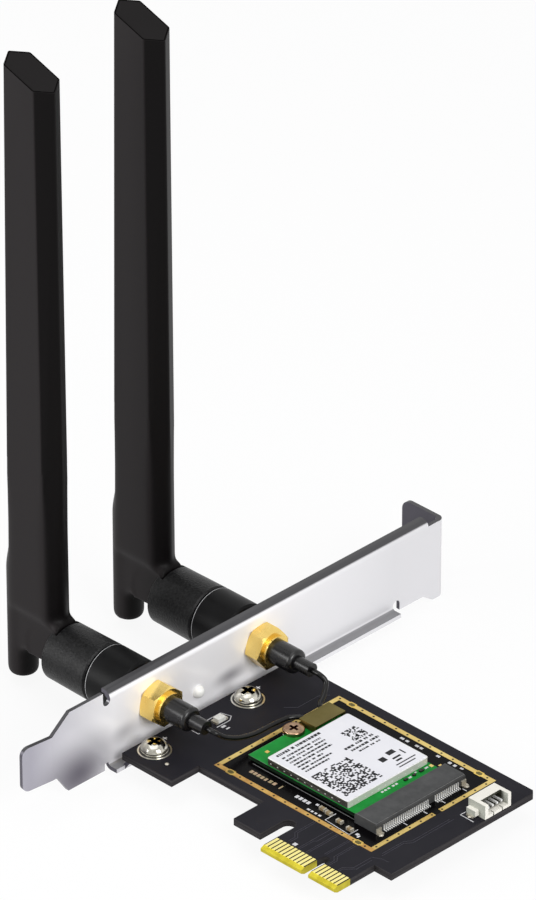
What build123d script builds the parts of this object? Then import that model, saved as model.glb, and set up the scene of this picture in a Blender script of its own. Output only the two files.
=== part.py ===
# Wireless network card for a short edge slot: a folded slot bracket, a black card with a shielded
# radio module in a low socket, two coaxial bulkhead connectors and two folding paddle antennas.
#
# X runs from the bracket towards the far end of the card, Y along the bracket towards its screw flange,
# and Z up from the card's solder side to its component side. The origin is the middle of the key notch,
# on the line of the contact edge, at the card's underside.
import math
import os

from build123d import *

os.makedirs("parts", exist_ok=True)

# Card: outline, read along X from the bracket and along Y from the contact edge
card_thickness = 1.6
card_gap = 2.6
heel_length = 14.1
bay_length = 18.3
leg_length = 7.4
slot_width = 3.3
first_group_length = 11.2
key_width = 1.9
second_group_length = 7.2
end_margin = 4.6
heel_line = 4.0
bay_line = 11.6
leg_line = 3.2
end_line = 11.2
card_height = 52.2
slot_depth = 11.0
key_depth = 6.7
corner_cut = 0.6
bevel_run = 0.9
bevel_depth = 0.45

# Contact pads on both faces of the tongue
pad_pitch = 1.0
pad_width = 0.7
pad_top = 4.4
plating = 0.05
first_group_pads = 11
second_group_pads = 7

# Plated frame round the module, with a gap at the socket side
frame_strip = 1.1
frame_clear = 1.7
frame_bracket_margin = 3.5
frame_low_margin = 6.1
frame_high_margin = 6.1
frame_gap = 1.8
frame_gap_place = 1.4

# Screws that hold the card to the bracket's tabs
screw_inset = 3.9
screw_lines = (9.3, 35.7)
screw_radius = 1.5
screw_hole_radius = 1.65
screw_head_radius = 2.9
screw_head_height = 1.9
head_rim = 0.35
head_lean = 0.25
recess_width = 0.9
recess_length = 3.2
recess_depth = 1.1
land_radius = 3.5
land_hole_radius = 1.75

# Bracket: folded sheet
sheet = 0.9
bracket_length = 120.02
bracket_width = 18.42
bracket_foot = -20.2
blank_low = -2.8
bend_radius = 0.7
upper_lip_depth = 2.5
upper_lip_drop = 0.6
upper_lip_start = 3.4
upper_lip_stop = 4.9
lower_lip_depth = 2.4
lower_lip_start = 2.7
lower_lip_stop = 15.32
relief_width = 2.0
tail_width = 10.19
tail_low = 1.6
tail_length = 7.5
tail_shoulder = 4.9
tail_heel = 4.3
tail_step = 1.3
tail_corner = 1.8
tail_bend = 6.0
flange_depth = 11.43
flange_width = 18.5
flange_low = -4.8
flange_corner = 2.2
ear_length = 3.4
ear_chamfer = 3.0
notch_width = 4.42
notch_reach = 6.2
notch_centre = 6.35
tab_width = 8.6
tab_reach = 11.2
tab_ramp = 1.4
indicator_line = 27.9
indicator_height = 4.1
indicator_radius = 1.4

# Antenna connectors through the bracket
axis_height = 7.8
axis_lines = {"front": 15.6, "rear": 45.6}
hex_turn = {"front": 20.0, "rear": 8.0}
barrel_radius = 3.1
barrel_play = 0.15
barrel_reach = 9.6
hex_flats = 8.0
hex_length = 4.0
hex_sides = 6
hex_chamfer = 0.35
hex_chamfer_angle = 30.0
collar_radius = 3.3
collar_length = 0.9
boot_radius = 2.65
boot_length = 6.0
neck_radius = 1.5
neck_length = 4.0
washer_radius = 5.1
washer_thickness = 0.6
jam_nut_length = 2.2
thread_play = 0.05
boot_round = 0.8

# Antennas: coupling nut, turning elbow, folding blade
nut_start = 4.2
nut_length = 9.3
nut_radius = 6.6
nut_bore_play = 0.1
nut_chamfer = 0.4
spindle_gap = 0.3
turn_gap = 0.3
elbow_length = 12.5
elbow_radius = 6.6
elbow_end_radius = 6.45
elbow_chamfer = 0.35
spindle_radius = 2.5
spindle_length = 3.4
running_fit = 0.05
hinge_offset = 1.65
knuckle_radius = 2.8
knuckle_width = 3.0
knuckle_play = 0.15
cheek_radius = 3.0
cheek_width = 6.0
hinge_clear = 0.35
pin_radius = 0.8
fold_clear = 0.3
spine_radius = 3.25
spine_drop = 10.4
spine_rise = 9.0
spine_point = 16.0
spine_tip = 0.25
spine_round = 0.6
blade_thickness = 7.26
blade_foot_flat = 10.8
blade_top_flat = 8.3
blade_point = 2.4
blade_top = 140.7
blade_slope = 19.0
blade_edge = 0.6
blade_set = 4.9
blade_top_shift = 0.5

# Radio module, its socket and what holds it
module_line = 31.7
module_width = 23.4
module_length = 33.2
module_thickness = 0.8
module_lift = 0.45
module_entry = 2.6
module_notch_radius = 1.75
socket_inset = 50.25
socket_depth = 6.0
socket_width = 25.4
socket_height = 2.25
socket_play = 0.1
socket_chamfer = 0.4
module_edge_width = 21.1
module_shoulder = 0.3
tail_contacts = 40
contact_pitch = 0.54
contact_width = 0.26
contact_reach = 0.85
contact_thickness = 0.16
contact_rise = 1.3
tail_gap = (24, 25, 26)
socket_ear_length = 1.3
socket_ear_depth = 1.0
socket_ear_height = 1.2
socket_ear_sheet = 0.3
shield_start = 5.05
shield_length = 22.6
shield_width = 23.0
shield_height = 1.5
shield_wall = 0.2
shield_round = 0.6
label_margin = 0.25
label_thickness = 0.1
label_round = 0.4
standoff_radius = 2.2
standoff_shank_radius = 1.7
module_screw_shift = 0.75
module_screw_inset = 0.5
module_screw_radius = 1.0
module_head_radius = 2.3
module_head_height = 0.9
module_head_round = 0.35
module_recess_length = 2.2
module_recess_width = 0.6
standoff_bore_depth = 1.6

# Coaxial plugs on the module, under a folded cover
plug_radius = 1.3
plug_height = 1.25
plug_inset = 1.8
plug_chamfer = 0.2
plug_spacing = 5.3
plug_line = 39.15
cover_sheet = 0.25
cover_side_clear = 0.05
cover_depth = 4.7
cover_clear = 0.1
cover_overhang = 0.4
lead_radius = 0.56
lead_straight = 2.2
bend_share = 0.45
# Bends of the leads, from the card's bracket edge, the contact edge and the card's top
lead_bends = {
    "front": ((15.4, 17.6, 4.5), (16.0, 20.8, 3.1), (16.2, 25.0, 2.1), (16.1, 30.5, 1.9), (16.5, 34.6, 1.9)),
    "rear": ((15.8, 46.2, 5.0), (16.9, 44.6, 3.2)),
}

# Side-entry pin header at the far end of the card
header_drop = 10.7
header_width = 7.4
header_depth = 4.6
header_height = 3.2
header_wall = 0.9
header_floor = 0.7
header_roof = 0.6
header_roof_depth = 2.4
header_pocket = 3.4
header_slit = 0.3
header_slit_depth = 1.0
header_slit_place = 1.25
header_ear_start = 0.4
header_ear_depth = 2.4
header_ear_width = 1.0
header_ear_height = 1.6
header_pin_count = 4
header_pitch = 1.25
header_pin_size = 0.4
header_pin_length = 2.6
header_tail = 0.8
header_foot = 0.3
header_foot_inset = 0.3
header_foot_reach = 0.4

# Small parts on the card, by their centres from its bracket edge and the contact edge
chip_length = 1.5
chip_width = 0.8
chip_height = 0.6
lamp_length = 3.2
lamp_width = 1.6
lamp_height = 0.9
lamp_base = 0.4
lamp_end = 0.6
lamp_place = (5.4, 26.1)
resistor_places = ((42.85, 17.7), (44.7, 17.5), (48.3, 16.9), (51.6, 16.4))

# Worked out from the sizes above
key_x = -key_width / 2
tongue_x = key_x - first_group_length
slot_x = tongue_x - slot_width
leg_x = slot_x - leg_length
bay_x = leg_x - bay_length
card_x = bay_x - heel_length
face_x = card_x - card_gap
outer_x = face_x - sheet
second_x = key_x + key_width
tongue_end = second_x + second_group_length
card_end = tongue_end + end_margin
card_top = card_thickness
screw_x = card_x + screw_inset
bracket_head = bracket_foot + bracket_length
blank_high = blank_low + bracket_width
upper_lip_end = bracket_head - upper_lip_stop
lower_lip_end = bracket_head - lower_lip_stop
upper_lip_top = blank_high - upper_lip_drop
flange_high = flange_low + flange_width
jam_x = outer_x - washer_thickness
barrel_x = face_x - barrel_reach
nut_x = face_x - nut_start
nut_end = nut_x - nut_length
elbow_x = nut_end - turn_gap
elbow_end = elbow_x - elbow_length
pivot_x = elbow_end - hinge_offset
fold_reach = elbow_radius + fold_clear
spine_x = pivot_x - fold_reach - spine_radius
blade_foot = axis_height + fold_reach
socket_x = card_x + socket_inset
module_end = socket_x + module_entry
module_x = module_end - module_length
module_low = card_top + module_lift
socket_end = socket_x + socket_depth
frame_x = module_x - frame_bracket_margin
frame_end = socket_end + contact_reach + frame_clear + frame_strip
frame_low = module_line - module_width / 2 - frame_low_margin
frame_high = module_line + module_width / 2 + frame_high_margin
module_top = module_low + module_thickness
module_screw_x = module_x + module_screw_inset
module_screw_line = module_line + module_screw_shift
shield_x = module_x + shield_start
shield_top = module_top + shield_height
plug_x = module_x + plug_inset
plug_lines = {"front": plug_line - plug_spacing / 2, "rear": plug_line + plug_spacing / 2}
collar_x = face_x + hex_length
boot_x = collar_x + collar_length
neck_x = boot_x + boot_length
lead_x = neck_x + neck_length


def bar(low, high, mode=Mode.ADD):
    """A box between two corners."""
    size = [b - a for a, b in zip(low, high)]
    middle = [(a + b) / 2 for a, b in zip(low, high)]
    with Locations(tuple(middle)):
        Box(*size, mode=mode)


def rod(start, end, line, height, radius, mode=Mode.ADD):
    """A round bar along X between two stations."""
    with Locations(((start + end) / 2, line, height)):
        Cylinder(radius, abs(end - start), rotation=(0, 90, 0), mode=mode)


def trim_hex(start, end, line):
    """Trims the corners of a hexagon along X with a cone from each end."""
    slope = 1 / math.tan(math.radians(hex_chamfer_angle))
    corner = hex_flats / 2 / math.cos(math.pi / hex_sides)
    small = corner - hex_chamfer * slope
    large = small + (end - start) * slope
    with Locations(((start + end) / 2, line, axis_height)):
        Cone(small, large, end - start, rotation=(0, 90, 0), mode=Mode.INTERSECT)
        Cone(large, small, end - start, rotation=(0, 90, 0), mode=Mode.INTERSECT)


def save(builder, name):
    builder.part.label = name
    export_step(builder.part, f"parts/{name}.step")


# Card: outline with heel, bay, leg and keyed contact tongue
with BuildPart() as main_board:
    with BuildSketch():
        with BuildLine():
            Polyline(
                (card_x, heel_line),
                (bay_x, heel_line),
                (bay_x, bay_line),
                (leg_x, bay_line),
                (leg_x, leg_line),
                (slot_x, leg_line),
                (slot_x, bevel_run),
                (tongue_x, bevel_run),
                (tongue_x, 0),
                (tongue_end, 0),
                (tongue_end, end_line),
                (card_end, end_line),
                (card_end, card_height - corner_cut),
                (card_end - corner_cut, card_height),
                (card_x, card_height),
                close=True,
            )
        make_face()
        with Locations((slot_x + slot_width / 2, slot_depth - slot_width / 2)):
            Circle(slot_width / 2, mode=Mode.SUBTRACT)
        with Locations((slot_x + slot_width / 2, (slot_depth - slot_width / 2) / 2)):
            Rectangle(slot_width, slot_depth - slot_width / 2, mode=Mode.SUBTRACT)
        with Locations((key_x + key_width / 2, key_depth - key_width / 2)):
            Circle(key_width / 2, mode=Mode.SUBTRACT)
        with Locations((key_x + key_width / 2, (key_depth - key_width / 2) / 2)):
            Rectangle(key_width, key_depth - key_width / 2, mode=Mode.SUBTRACT)
        with Locations(*[(screw_x, line) for line in screw_lines]):
            Circle(screw_hole_radius, mode=Mode.SUBTRACT)
        with Locations((module_screw_x, module_screw_line)):
            Circle(standoff_shank_radius, mode=Mode.SUBTRACT)
    extrude(amount=card_thickness)
    with BuildSketch(Plane.YZ.offset(tongue_x)):
        with BuildLine():
            Polyline((0, 0), (bevel_run, 0), (0, bevel_depth), close=True)
        make_face()
        with BuildLine():
            Polyline((0, card_top), (bevel_run, card_top), (0, card_top - bevel_depth), close=True)
        make_face()
    extrude(amount=tongue_end - tongue_x, mode=Mode.SUBTRACT)
save(main_board, "main_board")

# Contact pads: two groups on each face
pad_stations = []
for group_x, group_length, count in (
    (tongue_x, first_group_length, first_group_pads),
    (second_x, second_group_length, second_group_pads),
):
    first = group_x + (group_length - (count - 1) * pad_pitch) / 2
    pad_stations += [first + k * pad_pitch for k in range(count)]
with BuildPart() as edge_contacts:
    for station in pad_stations:
        for face in (card_top, -plating):
            bar(
                (station - pad_width / 2, bevel_run, face),
                (station + pad_width / 2, pad_top, face + plating),
            )
save(edge_contacts, "edge_contacts")

# Plated frame: a thin strip round the module, open where the socket's traces leave
with BuildPart() as plated_frame:
    with BuildSketch(Plane.XY.offset(card_top)):
        frame_length = frame_end - frame_x
        frame_width = frame_high - frame_low
        with Locations(((frame_x + frame_end) / 2, (frame_low + frame_high) / 2)):
            Rectangle(frame_length, frame_width)
            Rectangle(frame_length - 2 * frame_strip, frame_width - 2 * frame_strip, mode=Mode.SUBTRACT)
        with Locations((frame_end - frame_strip / 2, module_line + frame_gap_place)):
            Rectangle(2 * frame_strip, frame_gap, mode=Mode.SUBTRACT)
    extrude(amount=plating)
save(plated_frame, "plated_frame")

# Plated lands under the card screws
with BuildPart() as screw_lands:
    with BuildSketch(Plane.XY.offset(card_top)):
        with Locations(*[(screw_x, line) for line in screw_lines]):
            Circle(land_radius)
            Circle(land_hole_radius, mode=Mode.SUBTRACT)
    extrude(amount=plating)
save(screw_lands, "screw_lands")

# Card screws: domed heads with a cross recess, shanks down into the bracket's tabs
head_base = card_top + plating
head_top = head_base + screw_head_height
with BuildPart() as board_screws:
    for line in screw_lines:
        with BuildSketch(Plane.XZ.offset(-line)):
            with BuildLine():
                Polyline(
                    (screw_x, head_top),
                    (screw_x, -sheet),
                    (screw_x + screw_radius, -sheet),
                    (screw_x + screw_radius, head_base),
                    (screw_x + screw_head_radius, head_base),
                    (screw_x + screw_head_radius, head_base + screw_head_height * head_rim),
                )
                TangentArc(
                    (screw_x + screw_head_radius, head_base + screw_head_height * head_rim),
                    (screw_x, head_top),
                    tangent=(-head_lean, 1),
                )
            make_face()
        revolve(axis=Axis((screw_x, line, 0), (0, 0, 1)))
        with Locations((screw_x, line, head_top)):
            Box(recess_length, recess_width, 2 * recess_depth, mode=Mode.SUBTRACT)
            Box(recess_width, recess_length, 2 * recess_depth, mode=Mode.SUBTRACT)
save(board_screws, "board_screws")

# Bracket: face, tail, ear, two lips, two tabs and the screw flange, folded from one sheet
shoulder_y = bracket_foot + tail_length
tail_high = tail_low + tail_width
ear_y = bracket_head - ear_length


def across_bracket(line):
    """A section plane across the bracket, with its origin on the inner face."""
    return Plane(origin=(face_x, line, 0), x_dir=(1, 0, 0), z_dir=(0, -1, 0))


with BuildPart() as bracket:
    with BuildSketch(Plane.YZ.offset(outer_x)):
        with BuildLine():
            Polyline(
                (shoulder_y, tail_low),
                (shoulder_y + tail_step, tail_low),
                (shoulder_y + tail_heel, blank_low),
                (lower_lip_start - relief_width / 2, blank_low),
                (lower_lip_start - relief_width / 2, blank_low + sheet + bend_radius),
                (lower_lip_end + relief_width, blank_low + sheet + bend_radius),
                (lower_lip_end + relief_width, blank_low),
                (ear_y - ear_chamfer, blank_low),
                (ear_y, flange_low),
                (bracket_head - sheet - bend_radius, flange_low),
                (bracket_head - sheet - bend_radius, flange_high),
                (upper_lip_end, flange_high),
                (upper_lip_end, upper_lip_top - sheet - bend_radius),
                (upper_lip_start - relief_width, upper_lip_top - sheet - bend_radius),
                (upper_lip_start - relief_width, blank_high),
                (shoulder_y + tail_shoulder, blank_high),
                (shoulder_y, tail_high),
                close=True,
            )
        make_face()
        with Locations(*[(line, axis_height) for line in axis_lines.values()]):
            Circle(barrel_radius + barrel_play, mode=Mode.SUBTRACT)
        with Locations((indicator_line, indicator_height)):
            Circle(indicator_radius, mode=Mode.SUBTRACT)
        with Locations((lower_lip_end + relief_width / 2, blank_low + sheet + bend_radius)):
            Circle(relief_width / 2, mode=Mode.SUBTRACT)
        with Locations((upper_lip_start - relief_width / 2, upper_lip_top - sheet - bend_radius)):
            Circle(relief_width / 2, mode=Mode.SUBTRACT)
    extrude(amount=sheet)
    # Upper lip, bent outwards over its own length
    with BuildSketch(across_bracket(upper_lip_start)):
        with BuildLine():
            bend = upper_lip_top - sheet - bend_radius
            Polyline((0, bend), (-sheet, bend))
            RadiusArc((-sheet, bend), (-sheet - bend_radius, bend + bend_radius), bend_radius)
            Polyline(
                (-sheet - bend_radius, bend + bend_radius),
                (-upper_lip_depth, bend + bend_radius),
                (-upper_lip_depth, upper_lip_top),
                (-sheet - bend_radius, upper_lip_top),
            )
            RadiusArc((-sheet - bend_radius, upper_lip_top), (0, bend), sheet + bend_radius)
        make_face()
    extrude(amount=-(upper_lip_end - upper_lip_start))
    # Lower lip, bent inwards below the card
    with BuildSketch(across_bracket(lower_lip_start)):
        with BuildLine():
            bend = blank_low + sheet + bend_radius
            Polyline((-sheet, bend), (0, bend))
            RadiusArc((0, bend), (bend_radius, bend - bend_radius), -bend_radius)
            Polyline(
                (bend_radius, bend - bend_radius),
                (lower_lip_depth, bend - bend_radius),
                (lower_lip_depth, blank_low),
                (bend_radius, blank_low),
            )
            RadiusArc((bend_radius, blank_low), (-sheet, bend), sheet + bend_radius)
        make_face()
    extrude(amount=-(lower_lip_end - lower_lip_start))
    # Tabs, stepped up from the lower lip to the card's underside
    for line in screw_lines:
        with BuildSketch(across_bracket(line - tab_width / 2)):
            with BuildLine():
                Polyline(
                    (bend_radius, blank_low),
                    (lower_lip_depth, blank_low),
                    (lower_lip_depth + tab_ramp, -sheet),
                    (tab_reach, -sheet),
                    (tab_reach, 0),
                    (lower_lip_depth + tab_ramp - sheet / 2, 0),
                    (lower_lip_depth - sheet / 2, blank_low + sheet),
                    (bend_radius, blank_low + sheet),
                    close=True,
                )
            make_face()
        extrude(amount=-tab_width)
        with Locations((screw_x, line, -sheet / 2)):
            Cylinder(screw_radius, 2 * sheet, mode=Mode.SUBTRACT)
    # Screw flange, bent outwards at the head, with an open notch
    with BuildSketch(Plane((face_x, 0, flange_low))):
        with BuildLine():
            bend = bracket_head - sheet - bend_radius
            Polyline((0, bend), (-sheet, bend))
            RadiusArc((-sheet, bend), (-sheet - bend_radius, bend + bend_radius), bend_radius)
            Polyline(
                (-sheet - bend_radius, bend + bend_radius),
                (-flange_depth, bend + bend_radius),
                (-flange_depth, bracket_head),
                (-sheet - bend_radius, bracket_head),
            )
            RadiusArc((-sheet - bend_radius, bracket_head), (0, bend), sheet + bend_radius)
        make_face()
    extrude(amount=flange_width)
    notch_x = face_x - notch_centre
    notch_run = notch_reach - notch_width / 2
    notch_cut = 2 * (sheet + bend_radius)
    with Locations((notch_x, bracket_head, flange_low)):
        Box(notch_width, notch_cut, 2 * notch_run, mode=Mode.SUBTRACT)
    with Locations((notch_x, bracket_head, flange_low + notch_run)):
        Cylinder(notch_width / 2, notch_cut, rotation=(90, 0, 0), mode=Mode.SUBTRACT)
    fillet(bracket.edges().filter_by(Axis.Y).group_by(Axis.X)[0], flange_corner)
    # Tail, bent slightly outwards at the shoulder
    tail_plane = Plane(
        origin=(face_x, shoulder_y, 0),
        x_dir=(-math.sin(math.radians(tail_bend)), -math.cos(math.radians(tail_bend)), 0),
        z_dir=(-math.cos(math.radians(tail_bend)), math.sin(math.radians(tail_bend)), 0),
    )
    with BuildSketch(tail_plane) as tail_sketch:
        with BuildLine():
            Polyline(
                (0, tail_low),
                (tail_length, tail_low),
                (tail_length, tail_high),
                (0, tail_high),
                close=True,
            )
        make_face()
        fillet(tail_sketch.vertices().group_by(Axis.X)[-1], tail_corner)
    extrude(amount=sheet)
save(bracket, "bracket")

# Indicator lens: a light guide that fills the bracket's hole, domed towards the card
with BuildPart() as indicator_lens:
    rod(outer_x, face_x, indicator_line, indicator_height, indicator_radius)
    with Locations((face_x, indicator_line, indicator_height)):
        Sphere(indicator_radius)
    split(bisect_by=Plane.YZ.offset(outer_x), keep=Keep.TOP)
save(indicator_lens, "indicator_lens")

# Antenna connectors, each with its washer, jam nut and moulded boot
for side, line in axis_lines.items():
    with BuildPart() as connector:
        with BuildSketch(Plane.YZ.offset(face_x)):
            with Locations((line, axis_height)):
                RegularPolygon(hex_flats / 2, hex_sides, major_radius=False, rotation=hex_turn[side])
        extrude(amount=hex_length)
        trim_hex(face_x, collar_x, line)
        rod(collar_x, boot_x, line, axis_height, collar_radius)
        rod(barrel_x, face_x, line, axis_height, barrel_radius)
    save(connector, f"{side}_connector")

    with BuildPart() as lock_washer:
        rod(jam_x, outer_x, line, axis_height, washer_radius)
        rod(jam_x, outer_x, line, axis_height, barrel_radius + thread_play, Mode.SUBTRACT)
    save(lock_washer, f"{side}_lock_washer")

    with BuildPart() as jam_nut:
        with BuildSketch(Plane.YZ.offset(jam_x - jam_nut_length)):
            with Locations((line, axis_height)):
                RegularPolygon(hex_flats / 2, hex_sides, major_radius=False, rotation=hex_turn[side])
                Circle(barrel_radius + thread_play, mode=Mode.SUBTRACT)
        extrude(amount=jam_nut_length)
        trim_hex(jam_x - jam_nut_length, jam_x, line)
    save(jam_nut, f"{side}_jam_nut")

    with BuildPart() as boot:
        rod(boot_x, neck_x, line, axis_height, boot_radius)
        fillet(boot.edges().sort_by(Axis.X)[-1], boot_round)
        rod(neck_x, lead_x, line, axis_height, neck_radius)
    save(boot, f"{side}_boot")

# Antennas: coupling nut on the barrel, elbow turning in the nut, blade folding on the elbow
cheek_face = pivot_x + cheek_radius
recess_x = cheek_face + hinge_clear
slot_back = pivot_x - knuckle_radius - hinge_clear
slot_top = axis_height + knuckle_radius + hinge_clear
cheek_low = axis_height - cheek_radius
spine_foot = axis_height - spine_drop
spine_top = blade_foot + spine_rise
blade_x = spine_x + blade_set


def blade_section(middle, line, flat):
    """A flat six-sided section, pointed along X."""
    half = flat / 2
    side = blade_thickness / 2
    Polygon(
        (middle - half - blade_point, line),
        (middle - half, line - side),
        (middle + half, line - side),
        (middle + half + blade_point, line),
        (middle + half, line + side),
        (middle - half, line + side),
        align=None,
    )


for side, line in axis_lines.items():
    with BuildPart() as coupling_nut:
        rod(nut_end, nut_x, line, axis_height, nut_radius)
        chamfer(coupling_nut.edges().filter_by(GeomType.CIRCLE), nut_chamfer)
        rod(barrel_x - spindle_gap, nut_x, line, axis_height, barrel_radius + nut_bore_play, Mode.SUBTRACT)
        rod(nut_end, nut_x, line, axis_height, spindle_radius + running_fit, Mode.SUBTRACT)
    save(coupling_nut, f"{side}_coupling_nut")

    with BuildPart() as elbow:
        with BuildSketch(Plane.YZ.offset(elbow_end)):
            with Locations((line, axis_height)):
                Circle(elbow_end_radius)
        with BuildSketch(Plane.YZ.offset(elbow_x)):
            with Locations((line, axis_height)):
                Circle(elbow_radius)
        loft()
        chamfer(elbow.edges().filter_by(GeomType.CIRCLE), elbow_chamfer)
        recess_half = cheek_width / 2 + hinge_clear
        bar(
            (elbow_end, line - recess_half, axis_height - elbow_radius),
            (recess_x, line + recess_half, axis_height + elbow_radius),
            Mode.SUBTRACT,
        )
        with BuildSketch(Plane.XZ.offset(-(line - knuckle_width / 2))):
            with Locations((pivot_x, axis_height)):
                Circle(knuckle_radius)
            with Locations(((pivot_x + recess_x + knuckle_radius) / 2, axis_height)):
                Rectangle(recess_x + knuckle_radius - pivot_x, 2 * knuckle_radius)
        extrude(amount=-knuckle_width)
        with Locations((pivot_x, line, axis_height)):
            Cylinder(pin_radius + running_fit, 2 * elbow_radius, rotation=(90, 0, 0), mode=Mode.SUBTRACT)
        rod(elbow_x, elbow_x + spindle_length, line, axis_height, spindle_radius)
    save(elbow, f"{side}_elbow")

    with BuildPart() as blade:
        with BuildSketch(Plane.XY.offset(blade_foot)):
            blade_section(blade_x, line, blade_foot_flat)
        with BuildSketch(Plane.XY.offset(blade_top)):
            blade_section(blade_x + blade_top_shift, line, blade_top_flat)
        loft()
        fillet(blade.edges().filter_by(lambda e: e.length > (blade_top - blade_foot) / 2), blade_edge)
        slope = math.radians(blade_slope)
        crown = blade_x + blade_top_shift - blade_top_flat / 2 - blade_point
        split(
            bisect_by=Plane(origin=(crown, line, blade_top), z_dir=(math.sin(slope), 0, math.cos(slope))),
            keep=Keep.BOTTOM,
        )
        with Locations((spine_x, line, spine_foot)):
            Cylinder(spine_radius, spine_top - spine_foot, align=(Align.CENTER, Align.CENTER, Align.MIN))
        with Locations((spine_x, line, spine_top)):
            Cone(
                spine_radius,
                spine_radius * spine_tip,
                spine_point,
                align=(Align.CENTER, Align.CENTER, Align.MIN),
            )
        fillet(blade.edges().group_by(Axis.Z)[0], spine_round)
        with BuildSketch(Plane.XZ.offset(-(line - cheek_width / 2))):
            with BuildLine():
                Polyline(
                    (cheek_face, axis_height),
                    (cheek_face, blade_foot),
                    (spine_x, blade_foot),
                    (spine_x, cheek_low),
                    (pivot_x, cheek_low),
                )
                RadiusArc((pivot_x, cheek_low), (cheek_face, axis_height), -cheek_radius)
            make_face()
        extrude(amount=-cheek_width)
        slot_half = knuckle_width / 2 + knuckle_play
        bar(
            (slot_back, line - slot_half, spine_foot),
            (cheek_face + hinge_clear, line + slot_half, slot_top),
            Mode.SUBTRACT,
        )
        with Locations((pivot_x, line, axis_height)):
            Cylinder(pin_radius, 2 * cheek_width, rotation=(90, 0, 0), mode=Mode.SUBTRACT)
    save(blade, f"{side}_blade")

    with BuildPart() as hinge_pin:
        with Locations((pivot_x, line, axis_height)):
            Cylinder(pin_radius, cheek_width, rotation=(90, 0, 0))
    save(hinge_pin, f"{side}_hinge_pin")

# Module socket: low housing with a mouth towards the bracket, a row of tails and two anchors
socket_top = card_top + socket_height
with BuildPart() as socket_housing:
    bar(
        (socket_x, module_line - socket_width / 2, card_top),
        (socket_end, module_line + socket_width / 2, socket_top),
    )
    chamfer(socket_housing.edges().filter_by(Axis.Y).group_by(Axis.Z)[-1], socket_chamfer)
    edge_half = module_edge_width / 2 + socket_play
    bar(
        (socket_x, module_line - edge_half, module_low - socket_play),
        (module_end + socket_play, module_line + edge_half, module_top + socket_play),
        Mode.SUBTRACT,
    )
save(socket_housing, "socket_housing")

with BuildPart() as socket_contacts:
    first = module_line - (tail_contacts - 1) * contact_pitch / 2
    stations = [first + k * contact_pitch for k in range(tail_contacts) if k not in tail_gap]
    for station in stations:
        low = station - contact_width / 2
        high = station + contact_width / 2
        bar((socket_end, low, card_top), (socket_end + contact_reach, high, card_top + contact_thickness))
        bar((socket_end, low, card_top), (socket_end + contact_thickness, high, card_top + contact_rise))
save(socket_contacts, "socket_contacts")

with BuildPart() as socket_anchors:
    for way in (-1, 1):
        wall = module_line + way * socket_width / 2
        low, high = sorted((wall, wall - way * socket_ear_length))
        bar((socket_end, low, card_top), (socket_end + socket_ear_depth, high, card_top + socket_ear_sheet))
        bar((socket_end, low, card_top), (socket_end + socket_ear_sheet, high, card_top + socket_ear_height))
save(socket_anchors, "socket_anchors")

# Radio module: board with a narrow contact end and a half-round screw notch
with BuildPart() as module_board:
    with BuildSketch(Plane.XY.offset(module_low)):
        with Locations((module_x, module_line)):
            Rectangle(
                module_length - module_entry - module_shoulder, module_width, align=(Align.MIN, Align.CENTER)
            )
            Rectangle(module_length, module_edge_width, align=(Align.MIN, Align.CENTER))
        with Locations((module_screw_x, module_screw_line)):
            Circle(module_notch_radius, mode=Mode.SUBTRACT)
    extrude(amount=module_thickness)
save(module_board, "module_board")

with BuildPart() as module_shield:
    shield_half = shield_width / 2
    bar(
        (shield_x, module_line - shield_half, module_top),
        (shield_x + shield_length, module_line + shield_half, shield_top),
    )
    fillet(module_shield.edges().filter_by(Axis.Z), shield_round)
    bar(
        (shield_x + shield_wall, module_line - shield_half + shield_wall, module_top),
        (
            shield_x + shield_length - shield_wall,
            module_line + shield_half - shield_wall,
            shield_top - shield_wall,
        ),
        Mode.SUBTRACT,
    )
save(module_shield, "module_shield")

with BuildPart() as module_label:
    bar(
        (shield_x + label_margin, module_line - shield_half + label_margin, shield_top),
        (
            shield_x + shield_length - label_margin,
            module_line + shield_half - label_margin,
            shield_top + label_thickness,
        ),
    )
    fillet(module_label.edges().filter_by(Axis.Z), label_round)
save(module_label, "module_label")

# Stand-off: a nut set through the card, with its flange under the module's end
with BuildPart() as module_standoff:
    with Locations((module_screw_x, module_screw_line, card_top)):
        Cylinder(standoff_radius, module_lift, align=(Align.CENTER, Align.CENTER, Align.MIN))
        Cylinder(standoff_shank_radius, card_thickness, align=(Align.CENTER, Align.CENTER, Align.MAX))
    with Locations((module_screw_x, module_screw_line, module_low)):
        Cylinder(
            module_screw_radius,
            standoff_bore_depth,
            align=(Align.CENTER, Align.CENTER, Align.MAX),
            mode=Mode.SUBTRACT,
        )
save(module_standoff, "module_standoff")

with BuildPart() as module_screw:
    with Locations((module_screw_x, module_screw_line, module_low - standoff_bore_depth)):
        Cylinder(
            module_screw_radius,
            standoff_bore_depth + module_thickness,
            align=(Align.CENTER, Align.CENTER, Align.MIN),
        )
    with Locations((module_screw_x, module_screw_line, module_top)):
        Cylinder(module_head_radius, module_head_height, align=(Align.CENTER, Align.CENTER, Align.MIN))
    fillet(module_screw.edges().group_by(Axis.Z)[-1], module_head_round)
    with Locations((module_screw_x, module_screw_line, module_top + module_head_height)):
        Box(module_recess_length, module_recess_width, module_head_height, mode=Mode.SUBTRACT)
        Box(module_recess_width, module_recess_length, module_head_height, mode=Mode.SUBTRACT)
save(module_screw, "module_screw")

# Coaxial plugs with their folded cover, and the two leads from the boots
plug_top = module_top + plug_height
for side, line in plug_lines.items():
    with BuildPart() as coax_plug:
        with Locations((plug_x, line, module_top)):
            Cylinder(plug_radius, plug_height, align=(Align.CENTER, Align.CENTER, Align.MIN))
        chamfer(coax_plug.edges().group_by(Axis.Z)[-1], plug_chamfer)
    save(coax_plug, f"{side}_coax_plug")

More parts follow.
